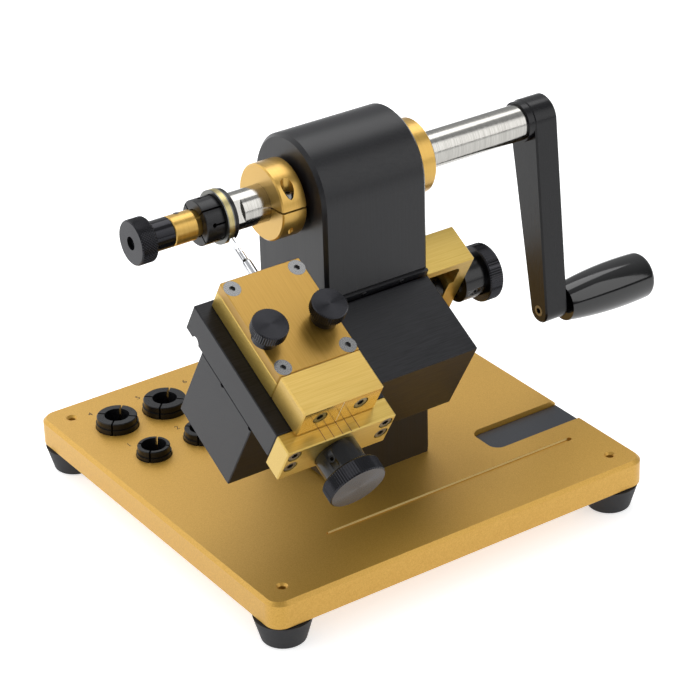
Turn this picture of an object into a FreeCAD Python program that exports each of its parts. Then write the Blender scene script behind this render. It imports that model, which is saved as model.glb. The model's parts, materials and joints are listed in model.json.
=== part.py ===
import FreeCAD
import Part
import math
import os
import re
import Sketcher

# A hand cranked bench machine that rolls a beaded edge on a ring.
# Millimetres. Origin on the bench under the middle of the base plate, +Z up,
# -Y towards the person at the machine, +X towards the crank.

# Base plate and feet
BASE_SIZES = [
    ("plate_side", 190.5, "square plate, both ways"),
    ("plate_thick", 12.7, "plate thickness"),
    ("plate_corner", 7.0, "corner radius"),
    ("plate_top_bevel", 1.5, "bevel round the top"),
    ("plate_under_bevel", 0.8, "bevel round the underside"),
    ("foot_height", 11.4, "rubber foot, bench to plate"),
    ("foot_spread", 168.0, "foot to foot, centres"),
    ("foot_top_radius", 12.4, "foot radius under the plate"),
    ("foot_bottom_radius", 9.2, "foot radius on the bench"),
    ("foot_edge_round", 1.2, "rounded lower edge of a foot"),
    ("foot_recess_radius", 3.6, "open recess in the foot's underside"),
    ("foot_recess_depth", 3.0, "depth of that recess"),
    ("foot_head_radius", 2.75, "foot screw head"),
    ("foot_head_height", 2.4, "foot screw head height"),
    ("foot_shank_radius", 1.5, "foot screw shank"),
    ("foot_screw_length", 14.2, "foot screw shank length"),
    ("foot_key", 2.1, "foot screw hexagon"),
    ("corner_sink_radius", 2.5, "countersink mouth at each corner hole"),
    ("corner_sink_depth", 1.0, "countersink depth"),
    ("seat_first_column", -71.1, "first column of collet seats"),
    ("seat_column_pitch", 24.5, "column to column"),
    ("seat_front_row", 35.0, "row of seats nearer the tower"),
    ("seat_row_pitch", 31.1, "row to row"),
    ("seat_depth", 7.0, "depth of a collet seat"),
    ("seat_gap", 0.3, "gap round a collet in its seat"),
    ("groove_left", -47.0, "left end of the pin groove"),
    ("groove_right", 78.6, "right end of the pin groove"),
    ("groove_line", -63.1, "middle of the groove, front to back"),
    ("groove_width", 2.4, "groove width"),
    ("groove_depth", 1.2, "groove depth"),
    ("groove_hole_radius", 0.9, "finger hole at the groove's right end"),
    ("groove_hole_depth", 4.0, "depth of that hole"),
    ("recess_left", 47.7, "left side of the wrench recess"),
    ("recess_front", -51.4, "front side of the recess"),
    ("recess_back", -32.9, "back side of the recess"),
    ("recess_corner", 5.0, "rounded left corners of the recess"),
    ("recess_depth", 4.4, "recess depth"),
    ("wrench_gap", 0.3, "gap round the flat wrench in its recess"),
    ("wrench_thick", 2.2, "flat wrench thickness"),
    ("wrench_bevel", 0.3, "its edge bevel"),
]

# Tower and what is fixed in it
TOWER_SIZES = [
    ("tower_width", 50.8, "tower, left to right"),
    ("tower_depth", 50.8, "tower, front to back"),
    ("tower_bevel", 1.5, "bevel round both end faces"),
    ("spindle_line", -9.1, "spindle axis, front to back"),
    ("spindle_rise", 126.5, "spindle axis above the plate"),
    ("tilt_angle", 30.0, "lean of the tool slides, degrees"),
    ("tower_screw_spread", 34.0, "tower screws, centre to centre"),
    ("tower_screw_radius", 2.9, "tower screw shank"),
    ("tower_head_radius", 4.7, "tower screw head"),
    ("tower_head_height", 5.0, "tower screw head height"),
    ("tower_screw_length", 24.0, "tower screw shank length"),
    ("tower_key", 4.0, "tower screw hexagon"),
    ("bush_outer_radius", 11.1, "spindle bush, outside"),
    ("bush_length", 20.0, "spindle bush length"),
    ("flange_radius", 12.0, "left bush flange"),
    ("flange_thick", 1.5, "left bush flange thickness"),
    ("notch_back_gap", 1.9, "bar to the notch's steep side"),
    ("notch_floor_gap", 0.5, "bar to the notch's lower side"),
    ("keeper_thick", 1.35, "black keeper strip on the steep side"),
    ("keeper_reach", 15.05, "strip below the bar's top"),
    ("keeper_rise", 2.85, "strip above the bar's top"),
    ("keeper_inset", 0.3, "strip ends inside the tower's sides"),
    ("keeper_screw_left", -6.9, "left keeper screw"),
    ("keeper_screw_right", 11.9, "right keeper screw"),
    ("keeper_screw_rise", 0.95, "keeper screws above the bar's top"),
    ("keeper_head_radius", 1.3, "keeper screw head"),
    ("keeper_head_height", 1.0, "keeper screw head height"),
    ("keeper_head_proud", 0.2, "how far a keeper head stands out"),
    ("keeper_shank_radius", 0.8, "keeper screw shank"),
    ("keeper_screw_length", 6.0, "keeper screw shank length"),
    ("keeper_key", 0.9, "keeper screw hexagon"),
]

# Bracket that carries the cross feed screw
BRACKET_SIZES = [
    ("bracket_width", 24.9, "bracket, left to right"),
    ("bracket_front_gap", 0.5, "bar to the bracket's face"),
    ("bracket_depth", 18.05, "bracket, along the slope"),
    ("bracket_top_drop", 0.25, "bracket top below the bar's top"),
    ("bracket_height", 39.0, "bracket height, square to the slope"),
    ("bracket_bevel", 0.5, "bracket edge bevel"),
    ("window_upper_right", 18.9, "window width above the step"),
    ("window_lower_right", 16.6, "window width below the step"),
    ("window_roof", 4.0, "metal over the window"),
    ("window_step_rise", 8.3, "step in the window's right side above the feed screw"),
    ("window_sill", 4.0, "metal under the window"),
    ("window_depth", 12.05, "window depth along the slope"),
    ("window_corner", 2.5, "rounded window corners"),
    ("bracket_screw_line", 14.35, "bracket screws behind the bracket's face"),
    ("bracket_screw_drop", 5.8, "upper bracket screw below the bracket's top"),
    ("bracket_screw_lift", 6.2, "lower bracket screw above the bracket's floor"),
    ("bracket_screw_radius", 2.0, "bracket screw shank"),
    ("bracket_head_radius", 3.2, "bracket screw head"),
    ("bracket_head_height", 3.6, "bracket screw head height"),
    ("bracket_head_sink", 4.0, "depth of its counterbore"),
    ("bracket_screw_length", 34.0, "bracket screw shank length"),
    ("bracket_key", 3.0, "bracket screw hexagon"),
]

# Spindle and its work holding end
SPINDLE_SIZES = [
    ("shaft_radius", 7.9375, "spindle"),
    ("shaft_left", -56.1, "left shoulder of the spindle"),
    ("shaft_right", 100.3, "right end of the spindle"),
    ("spigot_radius", 5.5, "spigot that centres the collet"),
    ("spigot_length", 5.9, "spigot length"),
    ("flats_lean", 21.5, "wrench flats, degrees up from the front"),
    ("flats_depth", 1.48, "wrench flats, depth"),
    ("flats_width", 4.9, "wrench flats, along the spindle"),
    ("stud_radius", 2.4, "draw stud"),
    ("stud_left", -98.0, "left end of the draw stud"),
    ("stud_right", -46.0, "right end of the draw stud"),
    ("stud_hole_spare", 2.0, "hole beyond the stud"),
    ("washer_radius", 10.8, "stop washer"),
    ("washer_thick", 1.9, "stop washer thickness"),
    ("collet_radius", 9.55, "expanding collet"),
    ("collet_length", 12.0, "expanding collet length"),
    ("collet_bevel", 0.3, "collet edge bevel"),
    ("collet_mouth_bevel", 0.4, "bevel inside the collet mouth"),
    ("collet_bore_depth", 4.3, "collet bore over the spigot"),
    ("collet_groove_radius", 9.3, "relief groove beside the ring seat"),
    ("collet_groove_width", 0.5, "relief groove width"),
    ("collet_groove_gap", 0.1, "ring to the relief groove"),
    ("slot_width", 0.8, "collet saw slots"),
    ("front_slot_lean", 50.0, "slots from the front, degrees"),
    ("front_slot_left", 3.0, "metal left behind a front slot"),
    ("rear_slot_lean", 9.5, "slots from the rear, degrees"),
    ("rear_slot_length", 8.6, "rear slot length to its relief hole"),
    ("slot_hole_radius", 0.9, "relief hole at a rear slot's end"),
    ("ring_radius", 11.3, "ring being worked, outside"),
    ("ring_inner_radius", 9.6, "ring being worked, inside"),
    ("ring_width", 3.3, "ring being worked, width"),
    ("collar_radius", 16.2, "shaft collar"),
    ("collar_width", 11.6, "shaft collar width"),
    ("collar_end_gap", 0.3, "a collar to the tower or to the left bush flange"),
    ("collar_bevel", 0.6, "collar edge bevel"),
    ("collar_split", 0.8, "gap between a collar's halves"),
    ("collar_lean", 3.0, "split line, degrees up from the front"),
    ("collar_screw_offset", 1.0, "collar screws left of the middle"),
    ("collar_screw_reach", 12.9, "collar screws out from the spindle"),
    ("collar_screw_seat", 4.2, "collar screw head seat above the split"),
    ("collar_screw_radius", 1.25, "collar screw shank"),
    ("collar_head_radius", 2.2, "collar screw head"),
    ("collar_head_height", 2.8, "collar screw head height"),
    ("collar_pocket_gap", 0.4, "pocket round a collar screw head"),
    ("collar_screw_length", 11.6, "collar screw shank length"),
    ("collar_key", 2.0, "collar screw hexagon"),
    ("set_screw_radius", 2.0, "right collar's set screw"),
    ("set_screw_length", 6.0, "its length"),
    ("set_screw_sink", 0.4, "how deep it lies"),
    ("set_screw_key", 2.0, "its hexagon"),
]

# Draw knob and expander
DRAW_SIZES = [
    ("sleeve_radius", 6.3, "expander sleeve"),
    ("sleeve_left", -82.4, "left end of the sleeve"),
    ("sleeve_length", 10.4, "sleeve length before its cone"),
    ("sleeve_bevel", 0.3, "sleeve edge bevel"),
    ("cone_large_radius", 5.8, "cone beside the sleeve"),
    ("cone_small_radius", 4.1, "cone tip"),
    ("cone_length", 9.7, "cone length"),
    ("cone_gap", 0.1, "cone to the collet's taper"),
    ("sleeve_screw_at", 4.8, "retaining screw from the sleeve's left end"),
    ("sleeve_screw_lean", 105.0, "retaining screw, degrees up from the front"),
    ("sleeve_screw_radius", 1.2, "retaining screw"),
    ("sleeve_screw_proud", 0.15, "how far it stands out"),
    ("sleeve_screw_length", 3.0, "its length"),
    ("sleeve_key", 0.9, "its hexagon"),
    ("sleeve_key_depth", 0.8, "depth of its hexagon"),
    ("draw_head_radius", 9.45, "draw knob head"),
    ("draw_head_length", 7.3, "draw knob head length"),
    ("draw_neck_length", 9.8, "draw knob neck length"),
    ("draw_neck_gap", 0.1, "draw knob to the sleeve"),
    ("draw_bevel", 0.6, "draw knob edge bevel"),
    ("draw_face_hole", 2.8, "hole in the draw knob's face"),
    ("draw_face_depth", 1.6, "depth of that hole"),
]

# Crank
CRANK_SIZES = [
    ("crank_lean", 8.3, "crank arm at rest, degrees forward of straight down"),
    ("crank_throw", 87.2, "spindle axis to handle axis"),
    ("arm_left", 94.3, "left face of the arm"),
    ("arm_thick", 12.0, "arm thickness"),
    ("arm_large_radius", 9.4, "arm round the spindle"),
    ("arm_small_radius", 5.6, "arm round the handle axle"),
    ("arm_bevel", 0.7, "arm edge bevel"),
    ("boss_radius", 9.0, "boss on the arm's left face"),
    ("boss_height", 2.8, "boss height"),
    ("crank_screw_radius", 2.5, "screw into the spindle's end"),
    ("crank_head_radius", 4.2, "its head"),
    ("crank_head_height", 3.8, "its head height"),
    ("crank_head_sink", 4.0, "its counterbore"),
    ("crank_screw_length", 14.0, "its shank length"),
    ("crank_key", 4.0, "its hexagon"),
    ("axle_thread_radius", 2.5, "handle axle in the arm"),
    ("axle_thread_length", 6.7, "handle axle thread length"),
    ("axle_radius", 3.2, "handle axle in the handle"),
    ("axle_head_radius", 5.4, "handle axle head"),
    ("axle_head_height", 3.3, "handle axle head height"),
    ("axle_key", 4.0, "handle axle hexagon"),
    ("lock_screw_length", 4.9, "set screw behind the axle"),
    ("lock_key", 2.5, "its hexagon"),
    ("handle_gap", 1.2, "arm to handle"),
    ("handle_length", 46.0, "handle length"),
    ("handle_neck_radius", 8.3, "handle at the arm"),
    ("handle_belly_radius", 10.85, "handle at its thickest"),
    ("handle_belly_at", 31.5, "thickest place from the arm end"),
    ("handle_end_round", 3.0, "rounded far end"),
    ("handle_sink", 3.9, "counterbore for the axle head"),
    ("handle_sink_gap", 0.4, "gap round the axle head"),
    ("handle_play", 0.3, "end play under the axle head"),
]

# Cross slide, x feed and carriage, in the leaning frame:
# along the slope from front to back, and square to the slope
SLIDE_SIZES = [
    ("tool_line", -60.0, "tool axis, left to right"),
    ("bar_side", 39.5, "cross bar, square section"),
    ("bar_length", 110.7, "cross bar length"),
    ("bar_face_gap", 0.3, "bar to the line of the tower's face"),
    ("bar_bevel", 0.4, "cross bar edge bevel"),
    ("seam_notch_radius", 1.2, "half round notches at the bar's left end"),
    ("seam_notch_depth", 3.0, "their depth"),
    ("seam_notch_front", -26.0, "front notch along the slope"),
    ("seam_notch_back", -4.2, "back notch along the slope"),
    ("rail_neck", 12.0, "dovetail rail, width at the bar"),
    ("rail_far", 18.0, "dovetail rail, width at its back"),
    ("rail_depth", 10.3, "dovetail rail, depth"),
    ("rail_rise", 16.65, "rail middle above the bar's floor"),
    ("rail_inset", 25.0, "rail's left end right of the bar's left end"),
    ("rail_gap", 0.1, "rail to its groove in the tower"),
    ("feed_depth", 5.15, "feed screw axis behind the bar"),
    ("feed_screw_radius", 3.0, "cross feed screw"),
    ("feed_screw_left", -20.0, "left end of the feed screw"),
    ("feed_screw_right", 60.0, "right end of the feed screw"),
    ("feed_bore_length", 60.0, "threaded bore in the rail"),
    ("feed_collar_radius", 4.5, "thrust collar in the window"),
    ("feed_collar_thick", 3.2, "thrust collar thickness"),
    ("feed_collar_gap", 0.3, "collar to the window's side"),
    ("knob_gap", 0.2, "knob hub to what it turns against"),
    ("knob_hub_radius", 9.3, "feed knob hub"),
    ("knob_hub_length", 10.8, "feed knob hub length"),
    ("knob_head_radius", 12.5, "feed knob head"),
    ("knob_head_length", 6.85, "feed knob head length"),
    ("knob_bevel", 0.6, "feed knob edge bevel"),
    ("knob_screw_at", 5.0, "set screw from the hub's end"),
    ("knob_screw_radius", 1.5, "knob set screw"),
    ("knob_screw_length", 5.0, "knob set screw length"),
    ("knob_screw_sink", 0.3, "how deep it lies"),
    ("knob_key", 1.5, "knob set screw hexagon"),
    ("feed_knob_lean", -19.0, "x feed set screw, degrees up from the front"),
    ("infeed_knob_lean", 132.0, "infeed set screw, degrees round from under the hub"),
    ("carriage_width", 50.6, "carriage, left to right"),
    ("carriage_height", 14.55, "carriage height"),
    ("carriage_front", -40.1, "front of the carriage along the slope"),
    ("carriage_back", 25.4, "back of the carriage along the slope"),
    ("carriage_bevel", 0.4, "carriage edge bevel"),
    ("way_top", 14.0, "dovetail way, width at the top"),
    ("way_floor", 20.0, "dovetail way, width at its floor"),
    ("way_depth", 5.0, "dovetail way, depth"),
    ("way_gap", 0.05, "slide to way"),
    ("nut_slot_width", 12.0, "slot for the infeed nut"),
    ("nut_slot_back", 0.0, "back end of that slot"),
    ("cross_notch_radius", 2.5, "half round notch under the carriage"),
    ("cross_notch_line", 17.8, "that notch along the slope"),
    ("carriage_screw_spread", 30.0, "carriage screws, left to right"),
    ("carriage_screw_front", -18.0, "front pair along the slope"),
    ("carriage_screw_back", 6.0, "back pair along the slope"),
    ("carriage_screw_radius", 2.0, "carriage screw shank"),
    ("carriage_head_radius", 3.3, "carriage screw head"),
    ("carriage_head_height", 4.0, "carriage screw head height"),
    ("carriage_head_sink", 4.5, "its counterbore"),
    ("carriage_screw_length", 20.0, "carriage screw shank length"),
    ("carriage_key", 3.0, "carriage screw hexagon"),
    ("end_plate_thick", 9.2, "end plate thickness"),
    ("end_plate_drop", 3.75, "end plate below the carriage"),
    ("end_plate_bevel", 0.5, "end plate edge bevel"),
    ("end_screw_spread", 42.6, "end plate screws, left to right"),
    ("end_screw_upper", 3.6, "upper pair below the carriage top"),
    ("end_screw_lower", 10.8, "lower pair below the carriage top"),
    ("end_screw_radius", 1.5, "end plate screw shank"),
    ("end_head_radius", 2.9, "end plate screw head"),
    ("end_head_height", 2.9, "end plate screw head height"),
    ("end_head_sink", 3.2, "its counterbore"),
    ("end_screw_length", 14.0, "end plate screw shank length"),
    ("end_key", 2.5, "end plate screw hexagon"),
    ("infeed_rise", 2.55, "infeed screw axis above the bar"),
    ("infeed_screw_radius", 2.1, "infeed screw"),
    ("infeed_screw_back", -5.0, "back end of the infeed screw"),
    ("infeed_screw_front", -60.0, "front end of the infeed screw"),
    ("thrust_radius", 3.9, "infeed thrust collar"),
    ("thrust_thick", 2.8, "infeed thrust collar thickness"),
    ("thrust_recess_radius", 4.1, "its recess in the end plate"),
    ("thrust_recess_depth", 3.2, "depth of that recess"),
    ("thrust_front_gap", 0.1, "collar to the recess floor"),
]

# Tool holder on the infeed slide
HOLDER_SIZES = [
    ("holder_width", 37.1, "tool holder, left to right"),
    ("holder_back", 23.1, "back of the holder along the slope"),
    ("holder_length", 47.2, "rear block along the slope"),
    ("holder_rise", 9.5, "lower block height to the tool axis"),
    ("clamp_thick", 5.2, "clamp plate thickness"),
    ("holder_bevel", 0.4, "holder edge bevel"),
    ("front_block_length", 19.0, "front block along the slope"),
    ("front_block_bevel", 0.6, "front block edge bevel"),
    ("clamp_screw_spread", 30.2, "clamp screws, left to right"),
    ("clamp_screw_back", 19.0, "back pair along the slope"),
    ("clamp_screw_front", -20.7, "front pair along the slope"),
    ("clamp_screw_radius", 1.8, "clamp screw shank"),
    ("clamp_head_radius", 3.6, "clamp screw flat head"),
    ("clamp_head_height", 2.0, "clamp screw flat head height"),
    ("clamp_screw_length", 10.5, "clamp screw under its head"),
    ("clamp_key", 2.4, "clamp screw hexagon"),
    ("front_screw_spread", 19.0, "front block screws, left to right"),
    ("front_screw_drop", 6.5, "front block screws below the top"),
    ("front_screw_radius", 1.25, "front block screw shank"),
    ("front_head_radius", 3.1, "front block screw head"),
    ("front_head_height", 3.4, "front block screw head height"),
    ("front_head_sink", 3.7, "its counterbore"),
    ("front_screw_length", 24.0, "front block screw shank length"),
    ("front_key", 2.8, "front block screw hexagon"),
    ("thumb_left_offset", -15.0, "left thumb screw from the tool axis"),
    ("thumb_left_line", -6.3, "left thumb screw along the slope"),
    ("thumb_left_lift", 0.1, "left thumb screw above the clamp plate"),
    ("thumb_right_offset", 11.8, "right thumb screw from the tool axis"),
    ("thumb_right_line", -6.8, "right thumb screw along the slope"),
    ("thumb_right_lift", 1.3, "right thumb screw above the clamp plate"),
    ("thumb_head_radius", 7.5, "thumb screw head"),
    ("thumb_head_height", 5.2, "thumb screw head height"),
    ("thumb_bevel", 0.5, "thumb screw head bevel"),
    ("thumb_shoulder_radius", 5.5, "thumb screw shoulder"),
    ("thumb_shoulder_height", 4.6, "thumb screw shoulder height"),
    ("thumb_thread_radius", 2.1, "thumb screw thread"),
    ("thumb_thread_length", 12.7, "thumb screw thread length"),
    ("thumb_hole_depth", 13.3, "thumb screw hole from the top"),
    ("nut_width", 9.0, "infeed nut, left to right"),
    ("nut_front", -21.0, "front of the infeed nut"),
    ("nut_length", 12.0, "infeed nut along the slope"),
    ("nut_floor_gap", 0.25, "infeed nut above the bar"),
    ("nut_screw_radius", 1.5, "infeed nut screw"),
    ("nut_head_radius", 2.75, "infeed nut screw head"),
    ("nut_head_height", 3.0, "infeed nut screw head height"),
    ("nut_head_sink", 6.5, "its counterbore below the split"),
    ("nut_screw_length", 11.6, "infeed nut screw shank length"),
    ("nut_key", 2.5, "infeed nut screw hexagon"),
    ("tool_radius", 2.0, "tool shank"),
    ("tool_front", -8.0, "front end of the tool shank"),
    ("tool_neck_radius", 1.375, "tool neck"),
    ("tool_neck_length", 5.7, "tool neck length"),
    ("fork_root", 2.47, "end of the neck to the floor of the fork's slot"),
    ("fork_thick", 2.0, "fork, left to right"),
    ("fork_height", 2.4, "fork, square to the slope"),
    ("fork_slot", 0.6, "slot for the wheel"),
    ("fork_reach", 0.8, "fork past the wheel's middle"),
    ("fork_slot_gap", 0.3, "slot floor to the wheel"),
    ("wheel_radius", 1.5, "beading wheel"),
    ("wheel_thick", 0.5, "beading wheel thickness"),
    ("wheel_work_gap", 0.3, "wheel to the ring at rest"),
    ("wheel_pin_radius", 0.35, "wheel pin"),
    ("wheel_run_gap", 0.05, "wheel on its pin"),
]

# Fits and small shared sizes
SHARED_SIZES = [
    ("screw_gap", 0.05, "screw in its hole, each side"),
    ("head_gap", 0.2, "screw head in its counterbore, each side"),
    ("run_gap", 0.03, "turning fit, each side"),
    ("fixed_gap", 0.02, "fixed fit, each side"),
    ("head_bevel", 0.25, "bevel on a screw head"),
    ("socket_share", 0.55, "hexagon depth as a share of the head"),
    ("spare_nose_length", 3.0, "nose of a spare collet"),
    ("spare_nose_step", 0.5, "body beyond the nose, each side"),
    ("spare_mouth_radius", 5.5, "bore mouth of a spare collet"),
    ("spare_throat_radius", 4.2, "narrowest bore of a spare collet"),
    ("spare_tail_radius", 5.0, "tail bore of a spare collet"),
    ("spare_tail_depth", 4.0, "tail bore depth"),
    ("spare_slot_left", 2.5, "metal left below a spare collet's slot"),
    ("spare_slot_lean", 45.0, "spare collet slots from the plate's sides, degrees"),
    ("overrun", 2.0, "how far a cut runs past a face"),
]

# Each spare collet in its seat: column, row, nose radius, height above the plate
SPARE_COLLETS = [
    ("one", 0, 1, 8.9, 5.2),
    ("two", 1, 1, 9.5, 5.4),
    ("three", 0, 0, 7.1, 4.7),
    ("four", 1, 0, 7.7, 4.7),
    ("five", 2, 0, 8.3, 4.7),
]
# Column and row of the empty seat, whose collet is on the spindle
EMPTY_SEAT = (2, 1)
SPARE_SIZES = []
for spare, column, row, nose, height in SPARE_COLLETS:
    SPARE_SIZES.append(("spare_nose_" + spare, nose, "nose radius of spare collet " + spare))
    SPARE_SIZES.append(("spare_height_" + spare, height, "spare collet " + spare + " above the plate"))

SIZES = (BASE_SIZES + TOWER_SIZES + BRACKET_SIZES + SPINDLE_SIZES + DRAW_SIZES + CRANK_SIZES
         + SLIDE_SIZES + HOLDER_SIZES + SHARED_SIZES + SPARE_SIZES)
ALIASES = {alias for alias, value, note in SIZES}

# Places worked out from the sizes
DERIVED = {
    "half_side": "plate_side / 2",
    "plate_top": "foot_height + plate_thick",
    "foot_at": "foot_spread / 2",
    "corner_hole": "foot_shank_radius + screw_gap",
    "foot_seat": "foot_recess_depth + foot_head_height + head_gap",
    "half_tower": "tower_width / 2",
    "tower_front": "spindle_line - tower_depth / 2",
    "tower_back": "spindle_line + tower_depth / 2",
    "tower_seat": "tower_head_height + head_gap - plate_thick",
    "spindle_height": "plate_top + spindle_rise",
    "spindle_along": "spindle_line * cos(tilt_angle) + spindle_rise * sin(tilt_angle)",
    "spindle_above": "spindle_rise * cos(tilt_angle) - spindle_line * sin(tilt_angle)",
    "bush_bore": "shaft_radius + run_gap",
    "holder_top": "spindle_above + clamp_thick",
    "carriage_top": "spindle_above - holder_rise",
    "bar_top": "carriage_top - carriage_height",
    "bar_floor": "bar_top - bar_side",
    "bar_back": "(tower_front + bar_top * sin(tilt_angle)) / cos(tilt_angle) + bar_face_gap",
    "bar_front": "bar_back - bar_side",
    "bar_left": "tool_line - carriage_width / 2",
    "bar_right": "bar_left + bar_length",
    "notch_back": "bar_back + notch_back_gap",
    "notch_floor": "bar_floor - notch_floor_gap",
    "keeper_floor": "bar_top - keeper_reach",
    "keeper_top": "bar_top + keeper_rise",
    "keeper_screw_above": "bar_top + keeper_screw_rise",
    "rail_back": "bar_back + rail_depth",
    "feed_above": "bar_floor + rail_rise",
    "feed_along": "bar_back + feed_depth",
    "feed_y": "feed_along * cos(tilt_angle) - feed_above * sin(tilt_angle)",
    "feed_z": "feed_along * sin(tilt_angle) + feed_above * cos(tilt_angle) + plate_top",
    "bracket_right": "half_tower + bracket_width",
    "bracket_front": "bar_back + bracket_front_gap",
    "bracket_back": "bracket_front + bracket_depth",
    "bracket_top": "bar_top - bracket_top_drop",
    "bracket_floor": "bracket_top - bracket_height",
    "window_side": "half_tower + window_lower_right",
    "window_top": "bracket_top - window_roof",
    "window_step": "feed_above + window_step_rise",
    "window_floor": "bracket_floor + window_sill",
    "bracket_screw_upper": "bracket_top - bracket_screw_drop",
    "bracket_screw_lower": "bracket_floor + bracket_screw_lift",
    "bracket_seat": "bracket_right - bracket_head_sink",
    "bracket_screw_along": "bracket_front + bracket_screw_line",
    "feed_collar_right": "window_side - feed_collar_gap",
    "feed_knob_left": "bracket_right + knob_gap",
    "spigot_left": "shaft_left - spigot_length",
    "washer_left": "shaft_left - washer_thick",
    "collet_left": "washer_left - collet_length",
    "ring_left": "washer_left - ring_width",
    "groove_at": "ring_left - collet_groove_gap",
    "collet_step": "washer_left - collet_bore_depth",
    "cone_left": "sleeve_left + sleeve_length",
    "cone_right": "cone_left + cone_length",
    "cone_slope": "(cone_large_radius - cone_small_radius) / cone_length",
    "taper_mouth": "cone_small_radius + cone_gap + cone_slope * (cone_right - collet_left)",
    "taper_throat": "cone_small_radius + cone_gap + cone_slope * (cone_right - collet_step)",
    "stud_hole": "stud_radius + screw_gap",
    "draw_neck_right": "sleeve_left - draw_neck_gap",
    "draw_head_right": "draw_neck_right - draw_neck_length",
    "draw_left": "draw_head_right - draw_head_length",
    "left_collar_left": "-half_tower - flange_thick - collar_end_gap - collar_width",
    "right_collar_left": "half_tower + collar_end_gap",
    "arm_right": "arm_left + arm_thick",
    "boss_left": "arm_left - boss_height",
    "arm_bore": "shaft_radius + screw_gap",
    "crank_seat": "arm_right - crank_head_sink",
    "handle_left": "arm_right + handle_gap",
    "handle_right": "handle_left + handle_length",
    "handle_seat": "handle_right - handle_sink",
    "handle_sweep": "(handle_belly_at^2 + (handle_belly_radius - handle_neck_radius)^2)"
                    " / (2 * (handle_belly_radius - handle_neck_radius))",
    "axle_hole": "axle_thread_radius + screw_gap",
    "carriage_left": "tool_line - carriage_width / 2",
    "carriage_right": "tool_line + carriage_width / 2",
    "way_level": "carriage_top - way_depth",
    "carriage_seat": "carriage_top - carriage_head_sink",
    "end_front": "carriage_front - end_plate_thick",
    "end_floor": "bar_top - end_plate_drop",
    "end_seat": "end_front + end_head_sink",
    "infeed_above": "bar_top + infeed_rise",
    "thrust_floor": "carriage_front - thrust_recess_depth",
    "infeed_knob_back": "end_front - knob_gap",
    "slide_floor": "carriage_top + way_gap",
    "tongue_floor": "way_level + way_gap",
    "holder_left": "tool_line - holder_width / 2",
    "holder_right": "tool_line + holder_width / 2",
    "holder_front": "holder_back - holder_length",
    "front_face": "holder_front - front_block_length",
    "front_seat": "front_face + front_head_sink",
    "front_screw_above": "holder_top - front_screw_drop",
    "nut_middle": "nut_front + nut_length / 2",
    "nut_floor": "bar_top + nut_floor_gap",
    "nut_seat": "spindle_above - nut_head_sink",
    "wheel_along": "spindle_along - ring_radius - wheel_work_gap - wheel_radius",
    "fork_end": "wheel_along + fork_reach",
    "fork_floor": "wheel_along - wheel_radius - fork_slot_gap",
    "tool_neck_end": "fork_floor - fork_root",
    "tool_shoulder": "tool_neck_end - tool_neck_length",
    "wheel_pin_hole": "wheel_pin_radius + fixed_gap",
}

# Frames: turn about X in degrees, then the frame's own origin
FRAMES = {
    "bench": ("0", "0", "0"),
    "plate": ("0", "0", "plate_top"),
    "slope": ("tilt_angle", "0", "plate_top"),
    "spindle": ("0", "spindle_line", "spindle_height"),
    "collar": ("-collar_lean", "spindle_line", "spindle_height"),
    "crank": ("-crank_lean", "spindle_line", "spindle_height"),
    "sleeve": ("-sleeve_screw_lean", "spindle_line", "spindle_height"),
    "feed": ("-feed_knob_lean", "feed_y", "feed_z"),
}

AXES = {
    "x": FreeCAD.Vector(1, 0, 0),
    "y": FreeCAD.Vector(0, 1, 0),
    "z": FreeCAD.Vector(0, 0, 1),
}

doc = FreeCAD.newDocument("BeadingMachine")
sheet = doc.addObject("Spreadsheet::Sheet", "Sizes")
for line, (alias, value, note) in enumerate(SIZES, 1):
    sheet.set("A%d" % line, alias)
    sheet.set("B%d" % line, str(value))
    sheet.set("C%d" % line, note)
    sheet.setAlias("B%d" % line, alias)
doc.recompute()

NODES = []


def formula(text):
    """Write a formula in the sheet's terms, with every worked out place opened up in brackets."""
    def term(found):
        name = found.group(0)
        if name in DERIVED:
            return "(" + formula(DERIVED[name]) + ")"
        if name in ALIASES:
            return "Sizes." + name
        return name
    return re.sub("[a-z_]+", term, text)


def bind(item, path, text):
    """Tie one property of an object to the sheet."""
    item.setExpression(path, formula(text))


def put(item, x, y, z):
    """Tie an object's place to the sheet."""
    for letter, text in zip("xyz", (x, y, z)):
        bind(item, "Placement.Base." + letter, text)


def along(axis, station, p, q):
    """Three coordinates of a point at a station on an axis, p and q being the other two in order."""
    return {"x": (station, p, q), "y": (p, station, q), "z": (p, q, station)}[axis]


def lean(item, turn, axis="x"):
    """Turn an object about an axis by a formula in degrees."""
    item.Placement = FreeCAD.Placement(item.Placement.Base, FreeCAD.Rotation(AXES[axis], 45))
    bind(item, "Placement.Rotation.Angle", turn)
    return item


def place(item, frame, x="0", y="0", z="0"):
    """Stand an object in a frame, shifted in that frame by x, y, z."""
    turn, origin_y, origin_z = FRAMES[frame]
    if turn != "0":
        lean(item, turn)
    put(item, x,
        "(%s) * cos(%s) - (%s) * sin(%s) + %s" % (y, turn, z, turn, origin_y),
        "(%s) * sin(%s) + (%s) * cos(%s) + %s" % (y, turn, z, turn, origin_z))
    return item


def block(x0, x1, y0, y1, z0, z1):
    """A plain box between two corners."""
    item = doc.addObject("Part::Box", "Block")
    for side, low, high in (("Length", x0, x1), ("Width", y0, y1), ("Height", z0, z1)):
        bind(item, side, "(%s) - (%s)" % (high, low))
    put(item, x0, y0, z0)
    return item


def aim(item, axis, start, p, q):
    """Point a primitive along an axis and put its foot at the start station."""
    item.Placement = FreeCAD.Placement(FreeCAD.Vector(), FreeCAD.Rotation(AXES["z"], AXES[axis]))
    put(item, *along(axis, start, p, q))
    return item


def rod(axis, radius, start, end, p="0", q="0"):
    """A round bar, or a round hole to cut."""
    item = doc.addObject("Part::Cylinder", "Rod")
    bind(item, "Radius", radius)
    bind(item, "Height", "(%s) - (%s)" % (end, start))
    return aim(item, axis, start, p, q)


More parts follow.
